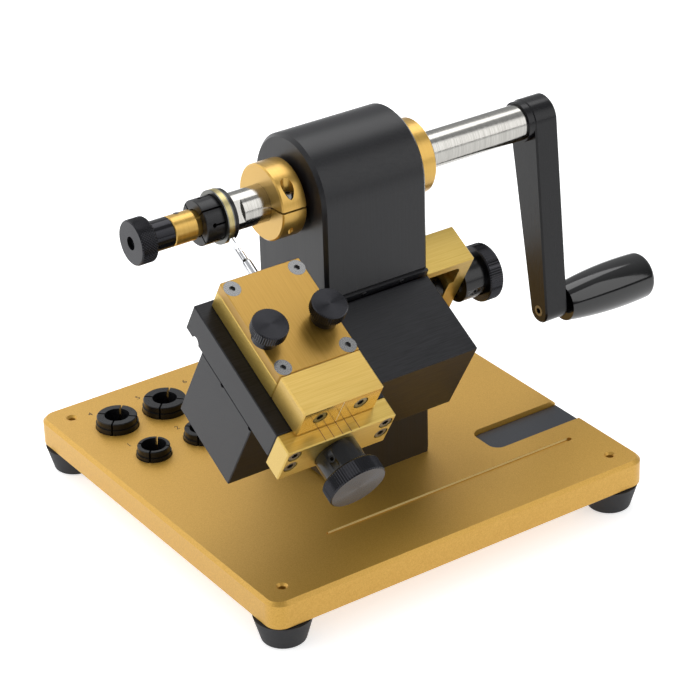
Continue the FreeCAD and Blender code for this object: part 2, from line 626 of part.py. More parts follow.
def cone(axis, first, last, start, end, p="0", q="0"):
    """A cone from its first radius to its last."""
    item = doc.addObject("Part::Cone", "Cone")
    bind(item, "Radius1", first)
    bind(item, "Radius2", last)
    bind(item, "Height", "(%s) - (%s)" % (end, start))
    return aim(item, axis, start, p, q)


def hexagon(axis, across, start, end, p="0", q="0"):
    """A hexagon prism, given across its flats."""
    item = doc.addObject("Part::Prism", "Hexagon")
    item.Polygon = 6
    bind(item, "Circumradius", "(%s) / sqrt(3)" % across)
    bind(item, "Height", "(%s) - (%s)" % (end, start))
    return aim(item, axis, start, p, q)


def joined(*items):
    """One solid from several that meet."""
    if len(items) == 1:
        return items[0]
    item = doc.addObject("Part::MultiFuse", "Joined")
    item.Shapes = list(items)
    item.Refine = True
    return item


def cut(base, *tools):
    """The base with the tools' space taken out."""
    item = doc.addObject("Part::Cut", "Cut")
    item.Base = base
    item.Tool = joined(*tools)
    item.Refine = True
    return item


def group(items):
    """Several solids that share one node."""
    item = doc.addObject("Part::Compound", "Group")
    item.Links = list(items)
    return item


def swung(item, turn, axis="x"):
    """A cutter that is already in its place, swung about an axis through the frame's origin."""
    return lean(group([item]), turn, axis)


def open_sketch(body, role):
    """A sketch on one of a body's own origin planes."""
    sketch = body.newObject("Sketcher::SketchObject", "Sketch")
    planes = [feature for feature in body.Origin.OriginFeatures if feature.Role == role]
    sketch.AttachmentSupport = (planes[0], [""])
    sketch.MapMode = "FlatFace"
    return sketch


def hold(sketch, curve, end, x, y):
    """Tie a point of a sketch to the sheet, measured from the sketch's origin."""
    for kind, text in (("DistanceX", x), ("DistanceY", y)):
        number = sketch.addConstraint(Sketcher.Constraint(kind, -1, 1, curve, end, 1.0))
        bind(sketch, "Constraints[%d]" % number, text)


def outline(sketch, points):
    """A closed outline of straight lines through points given as formulas."""
    count = len(points)
    spread = [2 * math.pi * number / count for number in range(count)]
    start = [FreeCAD.Vector(math.cos(turn), math.sin(turn), 0) for turn in spread]
    for number in range(count):
        sketch.addGeometry(Part.LineSegment(start[number], start[(number + 1) % count]), False)
    for number in range(count):
        sketch.addConstraint(Sketcher.Constraint("Coincident", number, 2, (number + 1) % count, 1))
    for number, (x, y) in enumerate(points):
        hold(sketch, number, 1, x, y)


def prism(role, points, start, end):
    """An outline on an origin plane, padded between two stations across that plane."""
    body = doc.addObject("PartDesign::Body", "Prism")
    sketch = open_sketch(body, role)
    outline(sketch, points)
    first = start
    if role == "XZ_Plane":
        first = "-(%s)" % end
    bind(sketch, "AttachmentOffset.Base.z", first)
    pad = body.newObject("PartDesign::Pad", "Pad")
    pad.Profile = sketch
    bind(pad, "Length", "(%s) - (%s)" % (end, start))
    return body


def rectangle(x0, x1, y0, y1):
    """The four corners of a rectangle."""
    return [(x0, y0), (x1, y0), (x1, y1), (x0, y1)]


def turned(axis, outside, bore=None):
    """A turned piece: stations and radii of its outside, and of its bore if it has one."""
    profile = list(outside)
    if bore:
        profile += reversed(bore)
    else:
        profile = [(outside[0][0], "0")] + profile + [(outside[-1][0], "0")]
    body = doc.addObject("PartDesign::Body", "Turned")
    role = "XZ_Plane" if axis == "z" else "XY_Plane"
    sketch = open_sketch(body, role)
    if axis == "x":
        outline(sketch, profile)
    else:
        outline(sketch, [(radius, station) for station, radius in profile])
    revolution = body.newObject("PartDesign::Revolution", "Revolution")
    revolution.Profile = sketch
    revolution.ReferenceAxis = (sketch, ["H_Axis" if axis == "x" else "V_Axis"])
    revolution.Angle = 360
    return body


def on_base(item):
    """A body that carries on from a piece already made, for bevels on its edges."""
    body = doc.addObject("PartDesign::Body", "Worked")
    body.BaseFeature = item
    return body


def ease(body, kind, text, chosen=None):
    """Bevel (Chamfer) or round (Fillet) the edges of a body that the test chooses, or all of them."""
    doc.recompute()
    tip = body.Tip
    names = []
    for number, edge in enumerate(tip.Shape.Edges, 1):
        if chosen is None or chosen(edge):
            names.append("Edge%d" % number)
    feature = body.newObject("PartDesign::" + kind, kind)
    feature.Base = (tip, names)
    bind(feature, "Size" if kind == "Chamfer" else "Radius", text)
    return body


def level(edge, axis, value):
    """Whether an edge lies in the plane where the axis has this value."""
    low = getattr(edge.BoundBox, axis + "Min")
    high = getattr(edge.BoundBox, axis + "Max")
    return abs(low - value) < SMALL and abs(high - value) < SMALL


def upright(edge, axis):
    """Whether an edge runs straight along the axis."""
    spans = {letter: getattr(edge.BoundBox, letter + "Length") for letter in "XYZ"}
    return spans.pop(axis) > SMALL and max(spans.values()) < SMALL


def slab(x0, x1, y0, y1, z0, z1, bevel):
    """A machined block with all its edges bevelled."""
    return ease(prism("XY_Plane", rectangle(x0, x1, y0, y1), z0, z1), "Chamfer", bevel)


def socket_screw(axis, p, q, seat, out, head, tall, shank, length, key):
    """A socket head screw: out is 1 where the head faces up its axis from the seat, and -1 where down."""
    sign = "" if out > 0 else "-"
    stations = [("-(%s)" % length, shank), ("0", shank), ("0", head),
                ("%s - head_bevel" % tall, head), (tall, "%s - head_bevel" % head)]
    screw = turned(axis, [("%s(%s)" % (sign, station), radius) for station, radius in stations])
    put(screw, *along(axis, seat, p, q))
    start, end = "(%s) + %s * (1 - socket_share)" % (seat, tall), "(%s) + %s" % (seat, tall)
    if out < 0:
        start, end = "(%s) - %s" % (seat, tall), "(%s) - %s * (1 - socket_share)" % (seat, tall)
    return cut(screw, hexagon(axis, key, start, end, p, q))


def sunk_hole(axis, p, q, seat, out, head, tall, shank, length):
    """The clearance hole and counterbore that a socket screw needs, with its own gaps."""
    if out > 0:
        bore = rod(axis, "%s + head_gap" % head, seat, "(%s) + %s" % (seat, tall), p, q)
        hole = rod(axis, "%s + screw_gap" % shank, "(%s) - (%s)" % (seat, length), seat, p, q)
    else:
        bore = rod(axis, "%s + head_gap" % head, "(%s) - %s" % (seat, tall), seat, p, q)
        hole = rod(axis, "%s + screw_gap" % shank, seat, "(%s) + (%s)" % (seat, length), p, q)
    return joined(bore, hole)


def node(item, label, frame, x="0", y="0", z="0"):
    """Name a finished piece and stand it in its frame."""
    item.Label = label
    place(item, frame, x, y, z)
    NODES.append(item)
    return item


# How near an edge must lie to a plane to count as in it
SMALL = 1e-4
LEFT_RIGHT = (-1, 1)


def offset(sign, text):
    """A formula on one side of a middle."""
    return "%d * (%s)" % (sign, text)


CORNERS = [(offset(a, "foot_at"), offset(b, "foot_at")) for a in LEFT_RIGHT for b in LEFT_RIGHT]
TOWER_SCREWS = [(offset(a, "tower_screw_spread / 2"),
                 "spindle_line + " + offset(b, "tower_screw_spread / 2"))
                for a in LEFT_RIGHT for b in LEFT_RIGHT]


def seat_place(column, row):
    """Middle of a collet seat, counted from the left and from the front."""
    return ("seat_first_column + %d * seat_column_pitch" % column,
            "seat_front_row + %d * seat_row_pitch" % row)


def spare_body(spare):
    """Radius of a spare collet's body, under its nose."""
    return "spare_nose_%s + spare_nose_step" % spare


def base_plate():
    """Square plate with collet seats, a pin groove, a wrench recess and screw holes."""
    body = prism("XY_Plane", rectangle("-half_side", "half_side", "-half_side", "half_side"),
                 "-plate_thick", "0")
    ease(body, "Fillet", "plate_corner", lambda edge: upright(edge, "Z"))
    ease(body, "Chamfer", "plate_top_bevel", lambda edge: level(edge, "Z", 0))
    underside = -sheet.get("plate_thick")
    ease(body, "Chamfer", "plate_under_bevel", lambda edge: level(edge, "Z", underside))
    cuts = []
    for x, y in CORNERS:
        cuts.append(rod("z", "corner_hole", "-plate_thick", "0", x, y))
        cuts.append(cone("z", "corner_hole", "corner_sink_radius", "-corner_sink_depth", "0", x, y))
    for x, y in TOWER_SCREWS:
        cuts.append(rod("z", "tower_head_radius + head_gap", "-plate_thick", "tower_seat", x, y))
        cuts.append(rod("z", "tower_screw_radius + screw_gap", "tower_seat", "0", x, y))
    for spare, column, row, nose, height in SPARE_COLLETS:
        x, y = seat_place(column, row)
        cuts.append(rod("z", spare_body(spare) + " + seat_gap", "-seat_depth", "0", x, y))
    x, y = seat_place(*EMPTY_SEAT)
    cuts.append(rod("z", "collet_radius + seat_gap", "-seat_depth", "0", x, y))
    cuts.append(block("groove_left", "groove_right", "groove_line - groove_width / 2",
                      "groove_line + groove_width / 2", "-groove_depth", "0"))
    for end in ("groove_left", "groove_right"):
        cuts.append(rod("z", "groove_width / 2", "-groove_depth", "0", end, "groove_line"))
    cuts.append(rod("z", "groove_hole_radius", "-groove_hole_depth", "0", "groove_right", "groove_line"))
    cuts.append(wrench_shape("0", "recess_corner", "-recess_depth", "0", "half_side + overrun"))
    node(cut(body, *cuts), "base_plate", "plate")


def wrench_shape(gap, corner, floor, top, right):
    """The recess, or the flat wrench that lies in it, rounded at its left corners."""
    body = prism("XY_Plane", rectangle("recess_left + " + gap, right, "recess_front + " + gap,
                                       "recess_back - " + gap), floor, top)
    left = sheet.get("recess_left") + (sheet.get(gap) if gap in ALIASES else 0)
    return ease(body, "Fillet", corner, lambda edge: upright(edge, "Z") and level(edge, "X", left))


def collet_wrench():
    """Flat wrench that lies in the recess, its right end flush with the plate."""
    body = wrench_shape("wrench_gap", "recess_corner - wrench_gap", "-recess_depth",
                        "wrench_thick - recess_depth", "half_side")
    top = sheet.get("wrench_thick") - sheet.get("recess_depth")
    ease(body, "Chamfer", "wrench_bevel", lambda edge: level(edge, "Z", top))
    node(body, "collet_remover", "plate")


def feet():
    """Four rubber feet, each with an open recess and a narrower bore for its screw head."""
    made = []
    for x, y in CORNERS:
        foot = turned("z",
                      [("0", "foot_bottom_radius"), ("foot_height", "foot_top_radius")],
                      [("0", "foot_recess_radius"), ("foot_recess_depth", "foot_recess_radius"),
                       ("foot_recess_depth", "foot_head_radius + head_gap"),
                       ("foot_seat", "foot_head_radius + head_gap"),
                       ("foot_seat", "corner_hole"), ("foot_height", "corner_hole")])
        rim = 2 * sheet.get("foot_bottom_radius")
        ease(foot, "Fillet", "foot_edge_round",
             lambda edge: level(edge, "Z", 0) and edge.BoundBox.XLength > rim - SMALL)
        put(foot, x, y, "0")
        made.append(foot)
    node(group(made), "rubber_feet", "bench")
    screws = []
    for x, y in CORNERS:
        screws.append(socket_screw("z", x, y, "foot_seat", -1, "foot_head_radius", "foot_head_height",
                                   "foot_shank_radius", "foot_screw_length", "foot_key"))
    node(group(screws), "foot_screws", "bench")


def tower():
    """Upright block with a round top, a leaning notch for the cross bar and a groove for its rail."""
    body = prism("YZ_Plane", rectangle("tower_front", "tower_back", "0", "spindle_rise"),
                 "-half_tower", "half_tower")
    sketch = open_sketch(body, "YZ_Plane")
    sketch.addGeometry(Part.Circle(FreeCAD.Vector(), AXES["z"], 1.0), False)
    hold(sketch, 0, 3, "spindle_line", "spindle_rise")
    number = sketch.addConstraint(Sketcher.Constraint("Radius", 0, 1.0))
    bind(sketch, "Constraints[%d]" % number, "tower_depth / 2")
    bind(sketch, "AttachmentOffset.Base.z", "-half_tower")
    pad = body.newObject("PartDesign::Pad", "Pad")
    pad.Profile = sketch
    bind(pad, "Length", "tower_width")
    pad.Refine = True
    half = sheet.get("tower_width") / 2
    ease(body, "Chamfer", "tower_bevel", lambda edge: level(edge, "X", half) or level(edge, "X", -half))
    cuts = [rod("x", "bush_outer_radius + fixed_gap", "-half_tower", "half_tower",
                "spindle_line", "spindle_rise")]
    for x, y in TOWER_SCREWS:
        cuts.append(rod("z", "tower_screw_radius + screw_gap", "0",
                        "tower_seat + tower_screw_length + overrun", x, y))
    wide = ("-half_tower - overrun", "half_tower + overrun")
    leaning = [block(*wide, "bar_front - tower_depth", "notch_back", "notch_floor", "spindle_above")]
    middle = "feed_above"
    sides = []
    for sign in LEFT_RIGHT:
        sides.append([("bar_back", middle + " + " + offset(sign, "rail_neck / 2 + rail_gap")),
                      ("rail_back + rail_gap", middle + " + " + offset(sign, "rail_far / 2 + rail_gap"))])
    leaning.append(prism("YZ_Plane", sides[0] + sides[1][::-1], *wide))
    for along_x in ("keeper_screw_left", "keeper_screw_right"):
        leaning.append(rod("y", "keeper_shank_radius + screw_gap", "notch_back",
                           "notch_back + keeper_screw_length", along_x, "keeper_screw_above"))
    for above in ("bracket_screw_upper", "bracket_screw_lower"):
        leaning.append(rod("x", "bracket_screw_radius + screw_gap",
                           "bracket_seat - bracket_screw_length - overrun", "half_tower",
                           "bracket_screw_along", above))
    tool = joined(*leaning)
    lean(tool, "tilt_angle")
    node(cut(body, tool, *cuts), "tower", "plate")


def tower_fittings():
    """Tower screws, spindle bushes, and the keeper strip with its screws."""
    screws = []
    for x, y in TOWER_SCREWS:
        screws.append(socket_screw("z", x, y, "tower_seat", -1, "tower_head_radius", "tower_head_height",
                                   "tower_screw_radius", "tower_screw_length", "tower_key"))
    node(group(screws), "tower_screws", "plate")
    left = turned("x",
                  [("-half_tower - flange_thick", "flange_radius"), ("-half_tower", "flange_radius"),
                   ("-half_tower", "bush_outer_radius"),
                   ("-half_tower + bush_length", "bush_outer_radius")],
                  [("-half_tower - flange_thick", "bush_bore"), ("-half_tower + bush_length", "bush_bore")])
    right = turned("x",
                   [("half_tower - bush_length", "bush_outer_radius"), ("half_tower", "bush_outer_radius")],
                   [("half_tower - bush_length", "bush_bore"), ("half_tower", "bush_bore")])
    node(group([left, right]), "spindle_bushes", "spindle")
    front = "notch_back - keeper_thick"
    seat = front + " - keeper_head_proud + keeper_head_height"
    strip = block("-half_tower + keeper_inset", "half_tower - keeper_inset", front, "notch_back",
                  "keeper_floor", "keeper_top")
    holes = []
    screws = []
    for x in ("keeper_screw_left", "keeper_screw_right"):
        holes.append(sunk_hole("y", x, "keeper_screw_above", seat, -1, "keeper_head_radius - head_gap / 2",
                               "keeper_head_height", "keeper_shank_radius", "keeper_thick"))
        screws.append(socket_screw("y", x, "keeper_screw_above", seat, -1, "keeper_head_radius",
                                   "keeper_head_height", "keeper_shank_radius", "keeper_screw_length",
                                   "keeper_key"))
    node(cut(strip, *holes), "keeper_strip", "slope")
    node(group(screws), "keeper_screws", "slope")


def x_feed_bracket():
    """Gold bracket on the tower's right side, with a window and the feed screw's bearing."""
    body = slab("half_tower", "bracket_right", "bracket_front", "bracket_back",
                "bracket_floor", "bracket_top", "bracket_bevel")
    upper = "half_tower + window_upper_right"
    window = prism("XZ_Plane",
                   [("half_tower - overrun", "window_floor"), ("window_side", "window_floor"),
                    ("window_side", "window_step"), (upper, "window_step"), (upper, "window_top"),
                    ("half_tower - overrun", "window_top")],
                   "bracket_front - overrun", "bracket_front + window_depth")
    doc.recompute()
    half = sheet.get("tower_width") / 2
    around = window.Shape.BoundBox
    ease(window, "Fillet", "window_corner",
         lambda edge: upright(edge, "Y") and edge.BoundBox.XMax > half
         and (level(edge, "Z", around.ZMin) or level(edge, "Z", around.ZMax)))
    cuts = [window, rod("x", "feed_screw_radius + screw_gap", "half_tower", "bracket_right",
                        "feed_along", "feed_above")]
    screws = []
    for above in ("bracket_screw_upper", "bracket_screw_lower"):
        cuts.append(sunk_hole("x", "bracket_screw_along", above, "bracket_seat", 1,
                              "bracket_head_radius", "bracket_head_sink", "bracket_screw_radius",
                              "bracket_screw_length"))
        screws.append(socket_screw("x", "bracket_screw_along", above, "bracket_seat", 1,
                                   "bracket_head_radius", "bracket_head_height", "bracket_screw_radius",
                                   "bracket_screw_length", "bracket_key"))
    node(cut(body, *cuts), "x_feed_bracket", "slope")
    node(group(screws), "bracket_screws", "slope")


def saw_slots(width, start, end, reach, turn):
    """Two saw cuts right across a collet, square to each other, as cutters."""
    made = []
    for quarter in (0, 90):
        across = block(start, end, "-(%s)" % reach, reach, "-(%s) / 2" % width, "(%s) / 2" % width)
        made.append(swung(across, "-(%s) + %d" % (turn, quarter)))
    return made


def spare_collets():
    """Five spare collets that stand nose up in their seats."""
    for number, (spare, column, row, nose, height) in enumerate(SPARE_COLLETS, 1):
        tall = "(seat_depth + spare_height_%s)" % spare
        tip = "spare_nose_" + spare
        body = turned("z",
                      [("0", spare_body(spare)), (tall + " - spare_nose_length", spare_body(spare)),
                       (tall + " - spare_nose_length", tip), (tall + " - collet_bevel", tip),
                       (tall, tip + " - collet_bevel")],
                      [("0", "spare_tail_radius"), ("spare_tail_depth", "spare_tail_radius"),
                       ("spare_tail_depth", "spare_throat_radius"), (tall, "spare_mouth_radius")])
        reach = spare_body(spare) + " + overrun"
        slots = []
        for quarter in (0, 90):
            blade = block("-(%s)" % reach, reach, "-slot_width / 2", "slot_width / 2",
                          "spare_slot_left", tall)
            slots.append(swung(blade, "spare_slot_lean + %d" % quarter, "z"))
        x, y = seat_place(column, row)
        node(cut(body, *slots), "spare_collet_%d" % number, "plate", x, y, "-seat_depth")


def spindle():
    """Spindle with its spigot, wrench flats, draw stud hole and tapped right end."""
    body = turned("x", [("spigot_left", "spigot_radius"), ("shaft_left", "spigot_radius"),
                        ("shaft_left", "shaft_radius"), ("shaft_right", "shaft_radius")])
    cuts = [rod("x", "stud_hole", "spigot_left", "stud_right + stud_hole_spare"),
            rod("x", "crank_screw_radius + screw_gap",
                "crank_seat - crank_screw_length - overrun", "shaft_right")]
    for low, high in (("-shaft_radius - overrun", "flats_depth - shaft_radius"),
                      ("shaft_radius - flats_depth", "shaft_radius + overrun")):
        flat = block("shaft_left", "shaft_left + flats_width", low, high,
                     "-shaft_radius", "shaft_radius")
        cuts.append(swung(flat, "-flats_lean"))
    node(cut(body, *cuts), "spindle_shaft", "spindle")
    node(turned("x", [("washer_left", "washer_radius"), ("shaft_left", "washer_radius")],
                [("washer_left", "spigot_radius + screw_gap"), ("shaft_left", "spigot_radius + screw_gap")]),
         "stop_washer", "spindle")


def collet():
    """Expanding collet with a taper bore, slotted from both ends, and the ring on its seat."""
    body = turned("x",
                  [("collet_left", "collet_radius - collet_bevel"),
                   ("collet_left + collet_bevel", "collet_radius"),
                   ("groove_at - collet_groove_width", "collet_radius"),
                   ("groove_at - collet_groove_width", "collet_groove_radius"),
                   ("groove_at", "collet_groove_radius"), ("groove_at", "collet_radius"),
                   ("washer_left", "collet_radius")],
                  [("collet_left", "taper_mouth + collet_mouth_bevel"),
                   ("collet_left + collet_mouth_bevel", "taper_mouth"),
                   ("collet_step", "taper_throat"), ("collet_step", "spigot_radius + screw_gap"),
                   ("washer_left", "spigot_radius + screw_gap")])
    reach = "collet_radius + overrun"
    rear = "washer_left - rear_slot_length"
    cuts = saw_slots("slot_width", "collet_left", "washer_left - front_slot_left", reach, "front_slot_lean")
    cuts += saw_slots("slot_width", rear, "washer_left", reach, "rear_slot_lean")
    for quarter in (0, 90):
        hole = rod("y", "slot_hole_radius", "-(%s)" % reach, reach, rear, "0")
        cuts.append(swung(hole, "-rear_slot_lean + %d" % quarter))
    node(cut(body, *cuts), "expanding_collet", "spindle")
    node(turned("x", [("ring_left", "ring_radius"), ("washer_left", "ring_radius")],
                [("ring_left", "ring_inner_radius"), ("washer_left", "ring_inner_radius")]),
         "work_ring", "spindle")


def collar_ring(left, right):
    """A shaft collar before it is split or drilled, its edges bevelled."""
    return turned("x",
                  [(left, "collar_radius - collar_bevel"), (left + " + collar_bevel", "collar_radius"),
                   (right + " - collar_bevel", "collar_radius"), (right, "collar_radius - collar_bevel")],
                  [(left, "shaft_radius + fixed_gap"), (right, "shaft_radius + fixed_gap")])


def split_collar():
    """Left shaft collar, in two halves held by two screws."""
    left = "left_collar_left"
    right = left + " + collar_width"
    middle = left + " + collar_width / 2 - collar_screw_offset"
    wide = (left + " - overrun", right + " + overrun", "-collar_radius - overrun", "collar_radius + overrun")
    halves = {"upper": ("-collar_radius - overrun", "collar_split / 2"),
              "lower": ("-collar_split / 2", "collar_radius + overrun")}
    for half, (low, high) in halves.items():
        cuts = [block(*wide, low, high)]
        for sign in LEFT_RIGHT:
            reach = offset(sign, "collar_screw_reach")
            cuts.append(rod("z", "collar_screw_radius + screw_gap", "-collar_radius",
                            "collar_screw_seat", middle, reach))
            cuts.append(rod("z", "collar_head_radius + collar_pocket_gap", "collar_screw_seat",
                            "collar_radius", middle, reach))
        node(cut(collar_ring(left, right), *cuts), "left_collar_" + half, "collar")
    screws = [socket_screw("z", middle, offset(sign, "collar_screw_reach"), "collar_screw_seat", 1,
                           "collar_head_radius", "collar_head_height", "collar_screw_radius",
                           "collar_screw_length", "collar_key") for sign in LEFT_RIGHT]
    node(group(screws), "left_collar_screws", "collar")


def plain_collar():
    """Right shaft collar, in one piece, with a set screw at the back."""
    left = "right_collar_left"
    right = left + " + collar_width"
    middle = left + " + collar_width / 2"
    outer = "collar_radius - set_screw_sink"
    inner = outer + " - set_screw_length"
    hole = rod("y", "set_screw_radius + fixed_gap", inner, "collar_radius + overrun", middle, "0")
    node(cut(collar_ring(left, right), hole), "right_collar", "spindle")
    screw = rod("y", "set_screw_radius", inner, outer, middle, "0")
    node(cut(screw, hexagon("y", "set_screw_key", outer + " - set_screw_length * socket_share", outer,
                            middle, "0")), "right_collar_screw", "spindle")


def expander():
    """Gold sleeve with a cone that spreads the collet, and its retaining screw."""
    body = turned("x",
                  [("sleeve_left", "sleeve_radius - sleeve_bevel"),
                   ("sleeve_left + sleeve_bevel", "sleeve_radius"),
                   ("cone_left - sleeve_bevel", "sleeve_radius"),
                   ("cone_left", "sleeve_radius - sleeve_bevel"),
                   ("cone_left", "cone_large_radius"), ("cone_right", "cone_small_radius")],
                  [("sleeve_left", "stud_hole"), ("cone_right", "stud_hole")])
    at = "sleeve_left + sleeve_screw_at"
    floor = "sleeve_screw_length - sleeve_radius - sleeve_screw_proud"
    hole = rod("y", "sleeve_screw_radius + fixed_gap", "-sleeve_radius - overrun", floor, at, "0")
    node(cut(body, swung(hole, "-sleeve_screw_lean")), "expander_sleeve", "spindle")
    top = "-sleeve_radius - sleeve_screw_proud"
    screw = cut(rod("y", "sleeve_screw_radius", top, floor, at, "0"),
                hexagon("y", "sleeve_key", top, top + " + sleeve_key_depth", at, "0"))
    node(screw, "sleeve_retaining_screw", "sleeve")


def draw_knob():
    """Knob at the left end and the stud that it turns into the spindle."""
    node(turned("x",
                [("draw_left", "draw_head_radius - draw_bevel"),
                 ("draw_left + draw_bevel", "draw_head_radius"),
                 ("draw_head_right - draw_bevel", "draw_head_radius"),
                 ("draw_head_right", "draw_head_radius - draw_bevel"),
                 ("draw_head_right", "sleeve_radius"),
                 ("draw_neck_right - sleeve_bevel", "sleeve_radius"),
                 ("draw_neck_right", "sleeve_radius - sleeve_bevel")],
                [("draw_left", "draw_face_hole"), ("draw_left + draw_face_depth", "draw_face_hole"),
                 ("draw_left + draw_face_depth", "stud_radius + fixed_gap"),
                 ("draw_neck_right", "stud_radius + fixed_gap")]),
         "draw_knob", "spindle")
    node(turned("x", [("stud_left", "stud_radius"), ("stud_right", "stud_radius")]), "draw_stud", "spindle")


def crank_arm():
    """Tapered arm between two round ends, with a boss, and its screw into the spindle."""
    fall = "(arm_large_radius - arm_small_radius) / crank_throw"
    level_out = "sqrt(1 - (%s)^2)" % fall
    sides = []
    for sign in LEFT_RIGHT:
        sides.append([(offset(sign, "arm_large_radius * " + level_out), "-arm_large_radius * " + fall),
                      (offset(sign, "arm_small_radius * " + level_out),
                       "-crank_throw - arm_small_radius * " + fall)])
    web = prism("YZ_Plane", sides[0] + sides[1][::-1], "arm_left", "arm_right")
    body = on_base(joined(web, rod("x", "arm_large_radius", "arm_left", "arm_right"),
                          rod("x", "arm_small_radius", "arm_left", "arm_right", "0", "-crank_throw")))
    faces = (sheet.get("arm_left"), sheet.get("arm_left") + sheet.get("arm_thick"))
    ease(body, "Chamfer", "arm_bevel", lambda edge: level(edge, "X", faces[0]) or level(edge, "X", faces[1]))
    whole = joined(body, rod("x", "boss_radius", "boss_left", "arm_left + arm_bevel"))
    cuts = [rod("x", "arm_bore", "boss_left", "shaft_right"),
            sunk_hole("x", "0", "0", "crank_seat", 1, "crank_head_radius", "crank_head_sink",
                      "crank_screw_radius", "crank_head_sink"),
            rod("x", "axle_hole", "arm_left", "arm_right", "0", "-crank_throw")]
    node(cut(whole, *cuts), "crank_arm", "crank")
    node(socket_screw("x", "0", "0", "crank_seat", 1, "crank_head_radius", "crank_head_height",
                      "crank_screw_radius", "crank_screw_length", "crank_key"), "crank_screw", "crank")


def handle():
    """Barrel shaped handle that turns on an axle, and the set screw that locks the axle."""
    body = doc.addObject("PartDesign::Body", "Turned")
    sketch = open_sketch(body, "XY_Plane")
    neck, belly, at, long = (sheet.get("handle_" + name)
                             for name in ("neck_radius", "belly_radius", "belly_at", "length"))
    left = sheet.get("arm_left") + sheet.get("arm_thick") + sheet.get("handle_gap")
    sweep = (at ** 2 + (belly - neck) ** 2) / (2 * (belly - neck))
    middle = FreeCAD.Vector(left + at, belly - sweep, 0)
    ends = [middle.y + math.sqrt(sweep ** 2 - (x - middle.x) ** 2) for x in (left, left + long)]
    corners = [FreeCAD.Vector(left, 0, 0), FreeCAD.Vector(left + long, 0, 0),
               FreeCAD.Vector(left + long, ends[1], 0), FreeCAD.Vector(left, ends[0], 0)]
    turns = [math.atan2(corner.y - middle.y, corner.x - middle.x) for corner in corners[2:]]
    sketch.addGeometry(Part.LineSegment(corners[0], corners[1]), False)
    sketch.addGeometry(Part.LineSegment(corners[1], corners[2]), False)
    sketch.addGeometry(Part.ArcOfCircle(Part.Circle(middle, AXES["z"], sweep), *turns), False)
    sketch.addGeometry(Part.LineSegment(corners[3], corners[0]), False)
    for first, second in ((0, 1), (1, 2), (2, 3), (3, 0)):
        sketch.addConstraint(Sketcher.Constraint("Coincident", first, 2, second, 1))
    hold(sketch, 0, 1, "handle_left", "0")
    hold(sketch, 1, 1, "handle_right", "0")
    hold(sketch, 3, 1, "handle_left", "handle_neck_radius")
    hold(sketch, 2, 3, "handle_left + handle_belly_at", "handle_belly_radius - handle_sweep")
    sketch.addConstraint(Sketcher.Constraint("Vertical", 1))
    revolution = body.newObject("PartDesign::Revolution", "Revolution")
    revolution.Profile = sketch
    revolution.ReferenceAxis = (sketch, ["H_Axis"])
    revolution.Angle = 360
    ease(body, "Fillet", "handle_end_round", lambda edge: level(edge, "X", left + long))
    node(cut(body, rod("x", "axle_radius + screw_gap", "handle_left", "handle_right"),
             rod("x", "axle_head_radius + handle_sink_gap", "handle_seat", "handle_right")),
         "crank_handle", "crank", "0", "0", "-crank_throw")
    seat = "handle_seat + handle_play"
    axle = turned("x", [("arm_right - axle_thread_length", "axle_thread_radius"),
                        ("arm_right", "axle_thread_radius"), ("arm_right", "axle_radius"),
                        (seat, "axle_radius"), (seat, "axle_head_radius"),
                        (seat + " + axle_head_height - head_bevel", "axle_head_radius"),
                        (seat + " + axle_head_height", "axle_head_radius - head_bevel")])
    node(cut(axle, hexagon("x", "axle_key", seat + " + axle_head_height * (1 - socket_share)",
                           seat + " + axle_head_height")),
         "handle_axle", "crank", "0", "0", "-crank_throw")
    node(cut(turned("x", [("arm_left", "axle_thread_radius"),
                          ("arm_left + lock_screw_length", "axle_thread_radius")]),
             hexagon("x", "lock_key", "arm_left", "arm_left + lock_screw_length * socket_share")),
         "handle_lock_screw", "crank", "0", "0", "-crank_throw")


def cross_bar():
    """Square black bar with a dovetail rail on its back, bored for the feed screw."""
    bar = slab("bar_left", "bar_right", "bar_front", "bar_back", "bar_floor", "bar_top", "bar_bevel")
    sides = []
    for sign in LEFT_RIGHT:
        near = "feed_above + " + offset(sign, "rail_neck / 2")
        sides.append([("bar_back - overrun", near), ("bar_back", near),
                      ("rail_back", "feed_above + " + offset(sign, "rail_far / 2"))])
    rail = prism("YZ_Plane", sides[0] + sides[1][::-1], "bar_left + rail_inset", "bar_right - bar_bevel")
    cuts = [rod("x", "feed_screw_radius + screw_gap", "bar_right - feed_bore_length", "bar_right",
                "feed_along", "feed_above")]
    for line in ("seam_notch_front", "seam_notch_back"):
        cuts.append(rod("x", "seam_notch_radius", "bar_left", "bar_left + seam_notch_depth",
                        line, "bar_top"))
    for x, y in carriage_screw_places():
        cuts.append(rod("z", "carriage_screw_radius + screw_gap",
                        "carriage_seat - carriage_screw_length - overrun", "bar_top", x, y))
    node(cut(joined(bar, rail), *cuts), "cross_bar", "slope")


def carriage_screw_places():
    """The four screws that hold the carriage down on the cross bar."""
    return [("tool_line + " + offset(sign, "carriage_screw_spread / 2"), line)
            for sign in LEFT_RIGHT for line in ("carriage_screw_front", "carriage_screw_back")]


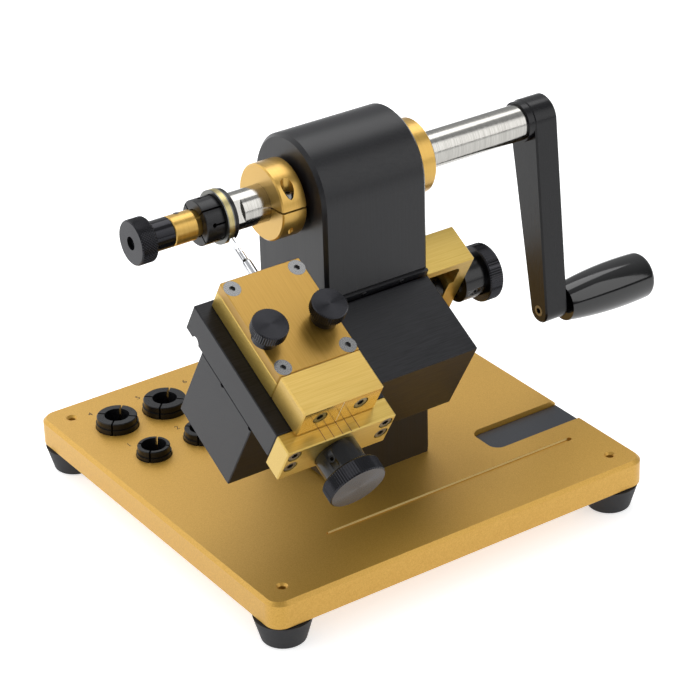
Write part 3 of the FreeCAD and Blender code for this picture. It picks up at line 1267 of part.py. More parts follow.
def carriage():
    """Black carriage with a dovetail way and a slot for the infeed nut, and its screws."""
    body = slab("carriage_left", "carriage_right", "carriage_front", "carriage_back",
                "bar_top", "carriage_top", "carriage_bevel")
    way = []
    for sign in LEFT_RIGHT:
        way.append([("tool_line + " + offset(sign, "way_floor / 2"), "way_level"),
                    ("tool_line + " + offset(sign, "way_top / 2"), "carriage_top")])
    cuts = [prism("XZ_Plane", way[0] + way[1][::-1], "carriage_front", "carriage_back"),
            block("tool_line - nut_slot_width / 2", "tool_line + nut_slot_width / 2",
                  "carriage_front", "nut_slot_back", "bar_top", "way_level"),
            rod("x", "cross_notch_radius", "carriage_left", "carriage_right",
                "cross_notch_line", "bar_top")]
    screws = []
    for x, y in carriage_screw_places():
        cuts.append(sunk_hole("z", x, y, "carriage_seat", 1, "carriage_head_radius",
                              "carriage_head_sink", "carriage_screw_radius", "carriage_screw_length"))
        screws.append(socket_screw("z", x, y, "carriage_seat", 1, "carriage_head_radius",
                                   "carriage_head_height", "carriage_screw_radius",
                                   "carriage_screw_length", "carriage_key"))
    for x, z in end_screw_places():
        cuts.append(rod("y", "end_screw_radius + screw_gap", "carriage_front",
                        "end_seat + end_screw_length + overrun", x, z))
    node(cut(body, *cuts), "carriage_base", "slope")
    node(group(screws), "carriage_screws", "slope")


def end_screw_places():
    """The four screws that hold the end plate on the carriage."""
    return [("tool_line + " + offset(sign, "end_screw_spread / 2"), "carriage_top - " + drop)
            for sign in LEFT_RIGHT for drop in ("end_screw_upper", "end_screw_lower")]


def end_plate():
    """Gold end plate that carries the infeed screw, with its four screws."""
    body = slab("carriage_left", "carriage_right", "end_front", "carriage_front",
                "end_floor", "carriage_top", "end_plate_bevel")
    cuts = [rod("y", "infeed_screw_radius + screw_gap", "end_front", "carriage_front",
                "tool_line", "infeed_above"),
            rod("y", "thrust_recess_radius", "thrust_floor", "carriage_front",
                "tool_line", "infeed_above")]
    screws = []
    for x, z in end_screw_places():
        cuts.append(sunk_hole("y", x, z, "end_seat", -1, "end_head_radius", "end_head_sink",
                              "end_screw_radius", "end_plate_thick"))
        screws.append(socket_screw("y", x, z, "end_seat", -1, "end_head_radius", "end_head_height",
                                   "end_screw_radius", "end_screw_length", "end_key"))
    node(cut(body, *cuts), "end_plate", "slope")
    node(group(screws), "end_plate_screws", "slope")


def knob(axis, start, out, bore, deep):
    """A feed knob, built out one way or the other: plain hub, wider head, blind bore for its screw."""
    rim = "(knob_hub_length + knob_head_length)"
    outside = [("0", "knob_hub_radius"), ("knob_hub_length", "knob_hub_radius"),
               ("knob_hub_length", "knob_head_radius - knob_bevel"),
               ("knob_hub_length + knob_bevel", "knob_head_radius"),
               (rim + " - knob_bevel", "knob_head_radius"), (rim, "knob_head_radius - knob_bevel"),
               (rim, "0")]
    inside = [("0", bore), (deep, bore), (deep, "0")]
    placed = [[("%s + %s" % (start, offset(out, station)), radius) for station, radius in profile]
              for profile in (outside, inside)]
    return turned(axis, *placed)


def knob_screw(axis, bottom, top, p, q):
    """A knob's set screw, its hexagon at the outer end."""
    screw = rod(axis, "knob_screw_radius", bottom, top, p, q)
    return cut(screw, hexagon(axis, "knob_key", bottom, "(%s) + knob_screw_length * socket_share" % bottom,
                              p, q))


def x_feed():
    """Cross feed screw with its knob, set screw and thrust collar."""
    node(turned("x", [("feed_screw_left", "feed_screw_radius"), ("feed_screw_right", "feed_screw_radius")]),
         "x_feed_screw", "slope", "0", "feed_along", "feed_above")
    at = "feed_knob_left + knob_screw_at"
    outer = "-knob_hub_radius + knob_screw_sink"
    inner = outer + " + knob_screw_length"
    hole = rod("y", "knob_screw_radius + fixed_gap", "-knob_hub_radius - overrun", inner, at, "0")
    body = knob("x", "feed_knob_left", 1, "feed_screw_radius + fixed_gap",
                "feed_screw_right - feed_knob_left + screw_gap")
    node(cut(body, hole), "x_feed_knob", "feed")
    node(knob_screw("y", outer, inner, at, "0"), "x_feed_knob_screw", "feed")
    left = "feed_collar_right - feed_collar_thick"
    node(turned("x", [(left, "feed_collar_radius"), ("feed_collar_right", "feed_collar_radius")],
                [(left, "feed_screw_radius + fixed_gap"),
                 ("feed_collar_right", "feed_screw_radius + fixed_gap")]),
         "x_feed_collar", "slope", "0", "feed_along", "feed_above")


def infeed():
    """Infeed screw with its knob, set screw and thrust collar."""
    there = ("tool_line", "0", "infeed_above")
    node(turned("y", [("infeed_screw_front", "infeed_screw_radius"),
                      ("infeed_screw_back", "infeed_screw_radius")]), "infeed_screw", "slope", *there)
    at = "infeed_knob_back - knob_screw_at"
    outer = "-knob_hub_radius + knob_screw_sink"
    inner = outer + " + knob_screw_length"
    hole = rod("z", "knob_screw_radius + fixed_gap", "-knob_hub_radius - overrun", inner, "0", at)
    body = knob("y", "infeed_knob_back", -1, "infeed_screw_radius + fixed_gap",
                "infeed_knob_back - infeed_screw_front + screw_gap")
    node(cut(body, swung(hole, "infeed_knob_lean", "y")), "infeed_knob", "slope", *there)
    screw = swung(knob_screw("z", outer, inner, "0", at), "infeed_knob_lean", "y")
    node(group([screw]), "infeed_knob_screw", "slope", *there)
    front = "thrust_floor + thrust_front_gap"
    node(turned("y", [(front, "thrust_radius"), (front + " + thrust_thick", "thrust_radius")],
                [(front, "infeed_screw_radius + fixed_gap"),
                 (front + " + thrust_thick", "infeed_screw_radius + fixed_gap")]),
         "infeed_thrust_collar", "slope", *there)


THUMBS = [("left", "tool_line + thumb_left_offset", "thumb_left_line"),
          ("right", "tool_line + thumb_right_offset", "thumb_right_line")]
CLAMP_SCREWS = [("tool_line + " + offset(a, "clamp_screw_spread / 2"), b)
                for a in LEFT_RIGHT for b in ("clamp_screw_front", "clamp_screw_back")]
FRONT_SCREWS = ["tool_line + " + offset(a, "front_screw_spread / 2") for a in LEFT_RIGHT]


def holder_bores():
    """Cutters that run through the clamp plate and the block below it."""
    made = [rod("y", "tool_radius + fixed_gap", "tool_front - overrun", "holder_back",
                "tool_line", "spindle_above")]
    for side, x, y in THUMBS:
        made.append(rod("z", "thumb_thread_radius + screw_gap", "holder_top - thumb_hole_depth",
                        "holder_top", x, y))
    for x, y in CLAMP_SCREWS:
        seat = "holder_top - clamp_head_height"
        made.append(joined(cone("z", "clamp_screw_radius + screw_gap", "clamp_head_radius + screw_gap",
                                seat, "holder_top", x, y),
                           rod("z", "clamp_screw_radius + screw_gap",
                               seat + " - clamp_screw_length", seat, x, y)))
    return made


def tool_holder():
    """Lower block with its dovetail tongue, clamp plate and front block."""
    body = slab("holder_left", "holder_right", "holder_front", "holder_back",
                "slide_floor", "spindle_above", "holder_bevel")
    tongue = []
    for sign in LEFT_RIGHT:
        neck = "tool_line + " + offset(sign, "way_top / 2 - way_gap")
        tongue.append([("tool_line + " + offset(sign, "way_floor / 2 - 2 * way_gap"), "tongue_floor"),
                       (neck, "slide_floor"), (neck, "slide_floor + overrun")])
    whole = joined(body, prism("XZ_Plane", tongue[0] + tongue[1][::-1],
                               "holder_front + holder_bevel", "holder_back - holder_bevel"))
    cuts = holder_bores()
    cuts.append(sunk_hole("z", "tool_line", "nut_middle", "nut_seat", 1, "nut_head_radius",
                          "nut_head_sink", "nut_screw_radius", "nut_screw_length"))
    for x in FRONT_SCREWS:
        cuts.append(rod("y", "front_screw_radius + screw_gap", "holder_front",
                        "front_seat + front_screw_length + screw_gap", x, "front_screw_above"))
    node(cut(whole, *cuts), "tool_holder", "slope")
    lid = slab("holder_left", "holder_right", "holder_front", "holder_back",
               "spindle_above", "holder_top", "holder_bevel")
    node(cut(lid, *holder_bores()), "holder_clamp_plate", "slope")
    front = slab("holder_left", "holder_right", "front_face", "holder_front",
                 "slide_floor", "holder_top", "front_block_bevel")
    holes = []
    screws = []
    for x in FRONT_SCREWS:
        holes.append(sunk_hole("y", x, "front_screw_above", "front_seat", -1, "front_head_radius",
                               "front_head_sink", "front_screw_radius", "front_block_length"))
        screws.append(socket_screw("y", x, "front_screw_above", "front_seat", -1, "front_head_radius",
                                   "front_head_height", "front_screw_radius", "front_screw_length",
                                   "front_key"))
    node(cut(front, *holes), "holder_front_block", "slope")
    node(group(screws), "front_block_screws", "slope")


def clamp_screws():
    """Four flat head screws in the clamp plate."""
    made = []
    for x, y in CLAMP_SCREWS:
        seat = "holder_top - clamp_head_height"
        body = joined(cone("z", "clamp_screw_radius", "clamp_head_radius", seat, "holder_top", x, y),
                      rod("z", "clamp_screw_radius", seat + " - clamp_screw_length + screw_gap", seat, x, y))
        made.append(cut(body, hexagon("z", "clamp_key", "holder_top - clamp_head_height * socket_share",
                                      "holder_top", x, y)))
    node(group(made), "clamp_plate_screws", "slope")


def infeed_nut():
    """Nut under the tool holder that the infeed screw turns in, and its screw."""
    body = block("tool_line - nut_width / 2", "tool_line + nut_width / 2", "nut_front",
                 "nut_front + nut_length", "nut_floor", "tongue_floor")
    node(cut(body, rod("y", "infeed_screw_radius + screw_gap", "nut_front", "nut_front + nut_length",
                       "tool_line", "infeed_above"),
             rod("z", "nut_screw_radius + screw_gap", "nut_seat - nut_screw_length - screw_gap",
                 "tongue_floor", "tool_line", "nut_middle")), "infeed_nut", "slope")
    node(socket_screw("z", "tool_line", "nut_middle", "nut_seat", 1, "nut_head_radius",
                      "nut_head_height", "nut_screw_radius", "nut_screw_length", "nut_key"),
         "infeed_nut_screw", "slope")


def tool():
    """Tool shank with its fork, and the beading wheel on its pin."""
    there = ("tool_line", "0", "spindle_above")
    body = turned("y", [("tool_front", "tool_radius"), ("tool_shoulder - tool_neck_radius", "tool_radius"),
                        ("tool_shoulder", "tool_neck_radius"), ("tool_neck_end", "tool_neck_radius")])
    fork = block("-fork_thick / 2", "fork_thick / 2", "tool_neck_end - overrun", "fork_end",
                 "-fork_height / 2", "fork_height / 2")
    slot = block("-fork_slot / 2", "fork_slot / 2", "fork_floor", "fork_end",
                 "-fork_height / 2", "fork_height / 2")
    node(cut(joined(body, fork), slot, rod("x", "wheel_pin_hole", "-fork_thick / 2", "fork_thick / 2",
                                           "wheel_along", "0")), "tool_shank", "slope", *there)
    there = ("tool_line", "wheel_along", "spindle_above")
    node(turned("x", [("-fork_thick / 2", "wheel_pin_radius"), ("fork_thick / 2", "wheel_pin_radius")]),
         "wheel_pin", "slope", *there)
    run = "wheel_pin_radius + wheel_run_gap"
    node(turned("x", [("-wheel_thick / 2", "wheel_radius"), ("wheel_thick / 2", "wheel_radius")],
                [("-wheel_thick / 2", run), ("wheel_thick / 2", run)]),
         "millgrain_wheel", "slope", *there)


def thumb_screws():
    """Two knurled thumb screws that nip the tool under the clamp plate."""
    for side, x, y in THUMBS:
        top = "(thumb_shoulder_height + thumb_head_height)"
        body = turned("z",
                      [("-thumb_thread_length", "thumb_thread_radius"), ("0", "thumb_thread_radius"),
                       ("0", "thumb_shoulder_radius"), ("thumb_shoulder_height", "thumb_shoulder_radius"),
                       ("thumb_shoulder_height", "thumb_head_radius - thumb_bevel"),
                       ("thumb_shoulder_height + thumb_bevel", "thumb_head_radius"),
                       (top + " - thumb_bevel", "thumb_head_radius"),
                       (top, "thumb_head_radius - thumb_bevel")])
        node(body, "thumb_screw_" + side, "slope", x, y, "holder_top + thumb_%s_lift" % side)


base_plate()
collet_wrench()
feet()
tower()
tower_fittings()
x_feed_bracket()
spare_collets()
spindle()
collet()
split_collar()
plain_collar()
expander()
draw_knob()
crank_arm()
handle()
cross_bar()
carriage()
end_plate()
x_feed()
infeed()
tool_holder()
clamp_screws()
infeed_nut()
tool()
thumb_screws()

doc.recompute()
for item in doc.Objects:
    if "Invalid" in item.State or "Error" in item.State:
        raise RuntimeError("%s (%s) did not build: %s" % (item.Name, item.Label, item.State))
os.makedirs("parts", exist_ok=True)
for item in NODES:
    if item.Shape.isNull() or not item.Shape.isValid() or not item.Shape.Solids:
        raise RuntimeError("%s has no sound shape" % item.Label)
    item.Shape.exportStep("parts/%s.step" % item.Label)
print("%d nodes" % len(NODES))
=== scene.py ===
import json
import math

import bmesh
import bpy
import numpy as np
from mathutils import Matrix, Vector

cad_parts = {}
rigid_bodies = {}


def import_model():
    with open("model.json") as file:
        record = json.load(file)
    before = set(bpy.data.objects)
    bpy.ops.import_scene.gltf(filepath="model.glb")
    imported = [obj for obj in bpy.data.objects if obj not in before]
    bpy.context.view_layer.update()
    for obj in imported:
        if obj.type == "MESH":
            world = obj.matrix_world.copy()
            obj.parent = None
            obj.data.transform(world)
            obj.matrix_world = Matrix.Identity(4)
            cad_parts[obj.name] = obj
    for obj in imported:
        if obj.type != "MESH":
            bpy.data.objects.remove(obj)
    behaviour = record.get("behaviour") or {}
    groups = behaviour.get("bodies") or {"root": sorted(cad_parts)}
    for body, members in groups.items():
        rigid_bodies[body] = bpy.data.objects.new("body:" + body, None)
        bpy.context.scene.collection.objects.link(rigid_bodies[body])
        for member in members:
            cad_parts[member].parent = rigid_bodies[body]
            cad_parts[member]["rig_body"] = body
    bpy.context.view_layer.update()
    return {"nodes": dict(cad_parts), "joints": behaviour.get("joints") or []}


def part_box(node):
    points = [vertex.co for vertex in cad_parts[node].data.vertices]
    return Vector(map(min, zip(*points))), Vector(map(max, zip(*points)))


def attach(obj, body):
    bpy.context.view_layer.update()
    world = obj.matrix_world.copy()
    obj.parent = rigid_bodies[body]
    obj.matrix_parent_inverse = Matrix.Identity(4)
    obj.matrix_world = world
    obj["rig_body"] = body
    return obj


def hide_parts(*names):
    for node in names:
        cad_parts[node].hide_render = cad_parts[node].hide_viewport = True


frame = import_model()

# A hand cranked machine that rolls a beaded edge on a ring: its finishes and fine shapes.
# Sizes are millimetres and are turned to metres as a mesh is made. +X runs along the spindle
# towards the crank, -Y towards the person at the machine, +Z up.
MM = 0.001
NODES = frame["nodes"]
JOINTS = {joint["name"]: joint for joint in frame["joints"]}
scene = bpy.context.scene

# The tool slides lean on a slope that starts at the plate's top: up along it, and square out of it
PLATE_TOP = round(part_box("base_plate")[1].z / MM, 3)
SLOPE_START = np.array([0.0, 0.0, PLATE_TOP])
SLOPE_ALONG = -np.array(JOINTS["infeed_slide"]["axis"])
SLOPE_OUT = np.array(JOINTS["thumb_left_turn"]["axis"])


# Places and sizes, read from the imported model

def on_slope(x, along, above):
    """A point of the leaning frame in the machine's own frame: x, along the slope, square to it."""
    return SLOPE_START + (x, 0.0, 0.0) + along * SLOPE_ALONG + above * SLOPE_OUT


def line_of(joint):
    """A joint's origin in mm and the direction of its axis."""
    return np.array(JOINTS[joint]["pos_m"]) / MM, np.array(JOINTS[joint]["axis"])


def corners_of(node):
    """All the corners of a CAD node's mesh in mm, one a row."""
    mesh = NODES[node].data
    flat = np.empty(3 * len(mesh.vertices), np.float32)
    mesh.vertices.foreach_get("co", flat)
    return flat.reshape(-1, 3).astype(float) / MM


def reach(node, origin, direction):
    """A CAD node's least and greatest place along a direction from an origin, to the nearest micron."""
    along = (corners_of(node) - origin) @ direction
    return round(along.min(), 3), round(along.max(), 3)


def extent(node, joint):
    """A turned CAD node's two ends along its joint's axis and its greatest radius, to the micron."""
    origin, axis = line_of(joint)
    away = np.cross(corners_of(node) - origin, axis)
    return *reach(node, origin, axis), round(np.linalg.norm(away, axis=1).max(), 3)


# Colours and shader nodes

# A Mix node's sockets share names, so they go by number: first what goes in, then what comes out
MIX_SHARE, MIX_VALUES, MIX_COLOURS = 0, (2, 3), (6, 7)
MIXED_VALUE, MIXED_COLOUR = 0, 2
# Most of a noise pattern lies between these two values
NOISE_LOW, NOISE_HIGH = 0.3, 0.7


def linear(code):
    """An sRGB hex colour as linear light, with full alpha."""
    shares = [int(code[start:start + 2], 16) / 255 for start in (1, 3, 5)]
    light = [share / 12.92 if share <= 0.04045 else ((share + 0.055) / 1.055) ** 2.4 for share in shares]
    return light + [1.0]


def add(tree, kind, inputs=None, **settings):
    """A shader node with its settings, and its inputs as values or as other nodes' outputs."""
    made = tree.nodes.new("ShaderNode" + kind)
    for name, value in settings.items():
        setattr(made, name, value)
    for name, value in (inputs or {}).items():
        if isinstance(value, bpy.types.NodeSocket):
            tree.links.new(value, made.inputs[name])
        else:
            made.inputs[name].default_value = value
    return made


def finish(name, sockets):
    """A new material with one principled surface: the material, its tree and its shader."""
    material = bpy.data.materials.new(name)
    material.use_nodes = True
    tree = material.node_tree
    tree.nodes.clear()
    shader = add(tree, "BsdfPrincipled", sockets)
    add(tree, "OutputMaterial", {"Surface": shader.outputs["BSDF"]})
    return material, tree, shader


def grain(tree, sizes, detail=2.0):
    """Marks of the given size in mm along x, y and z: noise on object coordinates."""
    where = add(tree, "TexCoord").outputs["Object"]
    squeezed = add(tree, "Mapping", {"Vector": where, "Scale": [1 / (size * MM) for size in sizes]})
    noise = add(tree, "TexNoise", {"Vector": squeezed.outputs["Vector"], "Scale": 1.0, "Detail": detail})
    return noise.outputs[0]


def mix_colours(tree, share, first, second):
    """The colour that lies a share of the way from the first to the second."""
    both = add(tree, "Mix", {MIX_SHARE: share, MIX_COLOURS[0]: first, MIX_COLOURS[1]: second},
               data_type="RGBA")
    return both.outputs[MIXED_COLOUR]


def work_in(tree, shader, marks, tones, gloss, depth):
    """Let marks move the colour and the roughness between two values each, and the height by depth mm."""
    noise = {"Value": marks, "From Min": NOISE_LOW, "From Max": NOISE_HIGH}
    share = add(tree, "MapRange", noise).outputs["Result"]
    tone = mix_colours(tree, share, linear(tones[0]), linear(tones[1]))
    tree.links.new(tone, shader.inputs["Base Color"])
    rough = add(tree, "MapRange", {**noise, "To Min": gloss[0], "To Max": gloss[1]})
    tree.links.new(rough.outputs["Result"], shader.inputs["Roughness"])
    if depth:
        bump = add(tree, "Bump", {"Height": marks, "Strength": 1.0, "Distance": depth * MM})
        tree.links.new(bump.outputs["Normal"], shader.inputs["Normal"])


# Finishes

# Cutter marks run along the spindle. They are about 0.1 mm apart; drawn at 0.4 mm so that they show
MILLED_ALONG_SPINDLE = (22.0, 0.4, 0.4)


def plate_gold():
    """Aluminium plate, bead blasted and gold anodised: an even satin sheen under a clear oxide skin."""
    material, tree, shader = finish("blasted_gold_anodised_aluminium", {
        "Metallic": 0.6, "Coat Weight": 0.3, "Coat Roughness": 0.35})
    # Blasting grit is about 0.1 mm; drawn at 0.5 mm so that it shows
    work_in(tree, shader, grain(tree, (0.5, 0.5, 0.5)), ("#C9993A", "#DBAE50"), (0.4, 0.5), 0.003)
    return material


def milled_gold(name, sizes, tones):
    """Milled aluminium, gold anodised: fine straight cutter marks of the given size along x, y and z."""
    material, tree, shader = finish(name, {"Metallic": 0.75, "Coat Weight": 0.3, "Coat Roughness": 0.25})
    work_in(tree, shader, grain(tree, sizes), tones, (0.3, 0.42), 0.0015)
    return material


def facing_gold():
    """The front block: as milled, but its front face is fly cut and shines more than the rest."""
    material, tree, shader = finish("fly_cut_gold_anodised_aluminium", {
        "Metallic": 0.75, "Coat Weight": 0.3, "Coat Roughness": 0.15})
    work_in(tree, shader, grain(tree, MILLED_ALONG_SPINDLE), ("#D2AC54", "#DEBC68"), (0.3, 0.42), 0.0015)
    fly_cut = 0.16
    milled = shader.inputs["Roughness"].links[0].from_socket
    # The cosine of a face's angle to the front tells the front face from the others
    normal = add(tree, "NewGeometry").outputs["Normal"]
    cosine = add(tree, "VectorMath", {0: normal, 1: tuple(-SLOPE_ALONG)},
                 operation="DOT_PRODUCT").outputs["Value"]
    front = add(tree, "MapRange", {"Value": cosine, "From Min": 0.9, "From Max": 0.98}).outputs["Result"]
    rough = add(tree, "Mix", {MIX_SHARE: front, MIX_VALUES[0]: milled, MIX_VALUES[1]: fly_cut})
    tree.links.new(rough.outputs[MIXED_VALUE], shader.inputs["Roughness"])
    return material


def turned_gold():
    """Turned aluminium, gold anodised: fine rings round the spindle."""
    material, tree, shader = finish("turned_gold_anodised_aluminium", {
        "Metallic": 0.75, "Coat Weight": 0.3, "Coat Roughness": 0.2})
    # Turning marks are about 0.1 mm apart; drawn at 0.45 mm so that they show
    work_in(tree, shader, grain(tree, (0.45, 30.0, 30.0)), ("#C69C48", "#CEA652"), (0.28, 0.34), 0.0004)
    return material


# A black dyed oxide skin hides the aluminium of the tower, the slides, the arm and the hubs, so they
# are not metallic. The skin's IOR is matched to how dark the real faces look.

def tower_black():
    """Aluminium bar stock, satin black anodised: saw and mill marks run up and down."""
    material, tree, shader = finish("upright_satin_black_anodised_aluminium", {"IOR": 1.42})
    work_in(tree, shader, grain(tree, (0.6, 0.6, 35.0)), ("#111114", "#1B1B1F"), (0.3, 0.42), 0.0015)
    return material


def slide_black():
    """Aluminium bar stock, satin black anodised: milled along the spindle's direction."""
    material, tree, shader = finish("milled_satin_black_anodised_aluminium", {"IOR": 1.36})
    work_in(tree, shader, grain(tree, (9.0, 0.45, 0.45)), ("#0F0F13", "#212126"), (0.28, 0.44), 0.003)
    return material


def arm_black():
    """Crank arm, black anodised and a little smoother, so that it mirrors what is near it."""
    material, tree, shader = finish("smooth_black_anodised_aluminium", {"IOR": 1.36})
    work_in(tree, shader, grain(tree, (0.6, 0.6, 14.0)), ("#0E0E11", "#161619"), (0.2, 0.28), 0.001)
    return material


def knob_black():
    """Plain turned hubs of the knobs, black anodised: smooth, with a satin band of light."""
    material, tree, shader = finish("turned_side_black_anodised_aluminium", {"IOR": 1.42})
    work_in(tree, shader, grain(tree, (0.5, 0.5, 0.5)), ("#09090B", "#0E0E10"), (0.2, 0.26), 0.0)
    return material


def faced_black():
    """Faced and knurled black anodised metal: the lathe's fine rings stretch light into a fan."""
    material, tree, shader = finish("faced_black_anodised_aluminium", {
        "Metallic": 0.8, "Anisotropic": 0.92, "Anisotropic Rotation": 0.25})
    tangent = add(tree, "Tangent", direction_type="UV_MAP", uv_map="turned")
    tree.links.new(tangent.outputs["Tangent"], shader.inputs["Tangent"])
    work_in(tree, shader, grain(tree, (0.5, 0.5, 0.5)), ("#28282B", "#2D2D31"), (0.17, 0.2), 0.0)
    return material


def oxide_black():
    """Hardened steel with a black oxide skin: dull, with a slight oily speckle."""
    material, tree, shader = finish("black_oxide_steel", {"IOR": 1.45, "Metallic": 0.2})
    work_in(tree, shader, grain(tree, (0.6, 0.6, 0.6), 3.0), ("#0D0D0F", "#1D1D20"), (0.26, 0.4), 0.002)
    return material


def screw_steel():
    """Stainless socket screws: satin, with faint tool marks."""
    material, tree, shader = finish("stainless_screw_steel", {"Metallic": 1.0})
    work_in(tree, shader, grain(tree, (0.4, 0.4, 0.4)), ("#757576", "#828281"), (0.26, 0.3), 0.0)
    return material


def ground_steel():
    """Spindle, ground to size: fine rings round it that spread its bands of light a little."""
    material, tree, shader = finish("ground_spindle_steel", {"Metallic": 1.0})
    # Grinding marks are a few hundredths of a mm wide; drawn at 0.3 mm so that they show
    work_in(tree, shader, grain(tree, (0.3, 12.0, 12.0)), ("#9F9D98", "#B4B2AD"), (0.14, 0.2), 0.0004)
    return material


def tool_steel():
    """The beading tool with its wheel and pin, and the threaded rods: polished steel."""
    material, tree, shader = finish("polished_tool_steel", {"Metallic": 1.0})
    work_in(tree, shader, grain(tree, (1.5, 1.5, 1.5)), ("#CBCCCE", "#D9DADC"), (0.08, 0.14), 0.0)
    return material


def wrench_grey():
    """Flat wrench: phosphated steel, dull dark grey with a fine grain."""
    material, tree, shader = finish("phosphated_wrench_steel", {"Metallic": 0.4, "IOR": 1.6})
    work_in(tree, shader, grain(tree, (0.5, 0.5, 0.5), 3.0), ("#3A3C42", "#474A50"), (0.42, 0.52), 0.002)
    return material


def bush_bronze():
    """Bearing bronze, turned: brown gold with fine rings."""
    material, tree, shader = finish("turned_bearing_bronze", {"Metallic": 1.0})
    work_in(tree, shader, grain(tree, (0.4, 20.0, 20.0)), ("#8A6238", "#A07444"), (0.25, 0.35), 0.001)
    return material


def ring_gold():
    """The ring being worked: brushed yellow gold between two narrow grey edges."""
    gold_half_width = 1.15
    low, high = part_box("work_ring")
    material, tree, shader = finish("brushed_yellow_gold_and_grey_edges", {"Metallic": 1.0})
    work_in(tree, shader, grain(tree, (0.35, 6.0, 6.0)), ("#A89A6A", "#C4B888"), (0.28, 0.42), 0.002)
    gold = shader.inputs["Base Color"].links[0].from_socket
    across = add(tree, "SeparateXYZ", {0: add(tree, "TexCoord").outputs["Object"]}).outputs["X"]
    band = add(tree, "Math", {0: across, 1: (low.x + high.x) / 2, 2: gold_half_width * MM},
               operation="COMPARE")
    both = mix_colours(tree, band.outputs[0], linear("#6F6F6B"), gold)
    tree.links.new(both, shader.inputs["Base Color"])
    return material


def foot_rubber():
    """Moulded rubber feet: matte, nearly black, with a fine bloom."""
    material, tree, shader = finish("moulded_black_rubber", {"IOR": 1.5})
    work_in(tree, shader, grain(tree, (0.7, 0.7, 0.7), 3.0), ("#1E1E20", "#29292C"), (0.6, 0.75), 0.004)
    return material


def handle_plastic():
    """Handle of glossy black moulded phenolic: sharp pale reflections."""
    material, tree, shader = finish("glossy_black_phenolic", {"IOR": 1.55})
    work_in(tree, shader, grain(tree, (9.0, 9.0, 9.0)), ("#070708", "#0C0C0D"), (0.08, 0.12), 0.0)
    return material


def marking(name, code, rough):
    """One even colour, for paint or bare metal in a line or letter too thin to show any grain, and for the
    pin groove's painted highlight.
    """
    return finish(name, {"Base Color": linear(code), "Roughness": rough})[0]


# New shapes, as grids of points

def shell(name, points, stations, loop=False):
    """A closed surface from rows of points that each go once round it.

    Neighbouring rows and neighbouring points of a row are joined by quads, and each row closes on
    itself. A first or last row that is one point is a pole, joined by triangles. With loop, the last
    row joins the first. The map named turned has the share of a turn across and the row's station up.
    """
    rows, columns = points.shape[:2]
    index = np.arange(rows * columns).reshape(rows, columns)
    for end in (0, rows - 1):
        if not loop and np.ptp(points[end], axis=0).max() < 1e-9:
            index[end] = index[end, 0]
    if loop:
        index = np.vstack([index, index[:1]])
        stations = np.append(stations, stations[0])
    beside = np.roll(index, -1, axis=1)
    quads = np.stack([index[:-1], index[1:], beside[1:], beside[:-1]], axis=-1).reshape(-1, 4)
    share = np.arange(columns + 1) / columns
    across = np.stack([share[:-1], share[:-1], share[1:], share[1:]], axis=-1)
    up = np.stack([stations[:-1], stations[1:], stations[1:], stations[:-1]], axis=-1)
    uv = np.stack([np.broadcast_to(across[None], (len(up), columns, 4)),
                   np.broadcast_to(up[:, None], (len(up), columns, 4))], axis=-1).reshape(-1, 4, 2)
    flat = points.reshape(-1, 3)
    a, b, c, d = (flat[quads[:, corner]] for corner in range(4))
    volume = np.sum(a * np.cross(b, c)) + np.sum(a * np.cross(c, d))
    if volume < 0:
        quads, uv = quads[:, ::-1], uv[:, ::-1]
    ends = quads[:, [1, 2, 3, 0]]
    same = [quads[:, corner] == ends[:, corner] for corner in range(4)]
    whole = ~np.any(same, axis=0)
    faces, corners_uv = quads[whole].tolist(), [uv[whole].reshape(-1, 2)]
    for corner in range(4):
        kept = [other for other in range(4) if other != corner]
        faces += quads[same[corner]][:, kept].tolist()
        corners_uv.append(uv[same[corner]][:, kept].reshape(-1, 2))
    mesh = bpy.data.meshes.new(name)
    mesh.from_pydata(flat * MM, [], faces)
    layer = mesh.uv_layers.new(name="turned")
    layer.data.foreach_set("uv", np.concatenate(corners_uv).ravel().astype(np.float32))
    return tidy(mesh)


def tidy(mesh):
    """Drop points that no face uses, merge doubles, and shade smooth but for edges over 30 degrees."""
    shape = bmesh.new()
    shape.from_mesh(mesh)
    unused = [point for point in shape.verts if not point.link_faces]
    bmesh.ops.delete(shape, geom=unused, context="VERTS")
    bmesh.ops.remove_doubles(shape, verts=shape.verts, dist=1e-7)
    shape.to_mesh(mesh)
    shape.free()
    mesh.shade_smooth()
    mesh.set_sharp_from_angle(angle=math.radians(30))
    return mesh


def fit(mesh, node, material, stands_for=True):
    """An object for a mesh that rides with a CAD node's body, and stands for the node or lies on it."""
    piece = bpy.data.objects.new(mesh.name, mesh)
    scene.collection.objects.link(piece)
    mesh.materials.append(material)
    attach(piece, NODES[node]["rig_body"])
    if stands_for:
        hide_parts(node)


def turned(name, joint, profile, columns, relief=None, loop=False):
    """A turned surface round a joint's axis.

    Point = origin + axis * station + radius * (side * cos(turn) + up * sin(turn)), with stations and
    radii in mm from the profile, and the radius then changed by the relief.
    """
    origin, axis = line_of(joint)
    side = np.cross(axis, [0.0, 0.0, 1.0])
    side /= np.linalg.norm(side)
    up = np.cross(side, axis)
    profile = np.asarray(profile, float)
    station = profile[:, 0][:, None]
    turn = np.linspace(0, 2 * math.pi, columns, endpoint=False)[None, :]
    radius = np.repeat(profile[:, 1][:, None], columns, axis=1)
    if relief:
        radius = relief(station, turn, radius)
    round_it = np.cos(turn)[..., None] * side + np.sin(turn)[..., None] * up
    points = origin + station[..., None] * axis + radius[..., None] * round_it
    travelled = np.concatenate([[0], np.cumsum(np.hypot(*np.diff(profile, axis=0).T))])
    return shell(name, points, travelled, loop)


def run(first, last, step):
    """A straight run of a profile, divided into steps no longer than asked, both ends included."""
    count = max(1, math.ceil(math.dist(first, last) / step))
    return np.linspace(first, last, count + 1)


def zigzag(turns):
    """A triangle wave of turns: 1 at every whole turn, 0 half way between."""
    return np.abs(2 * (turns % 1) - 1)


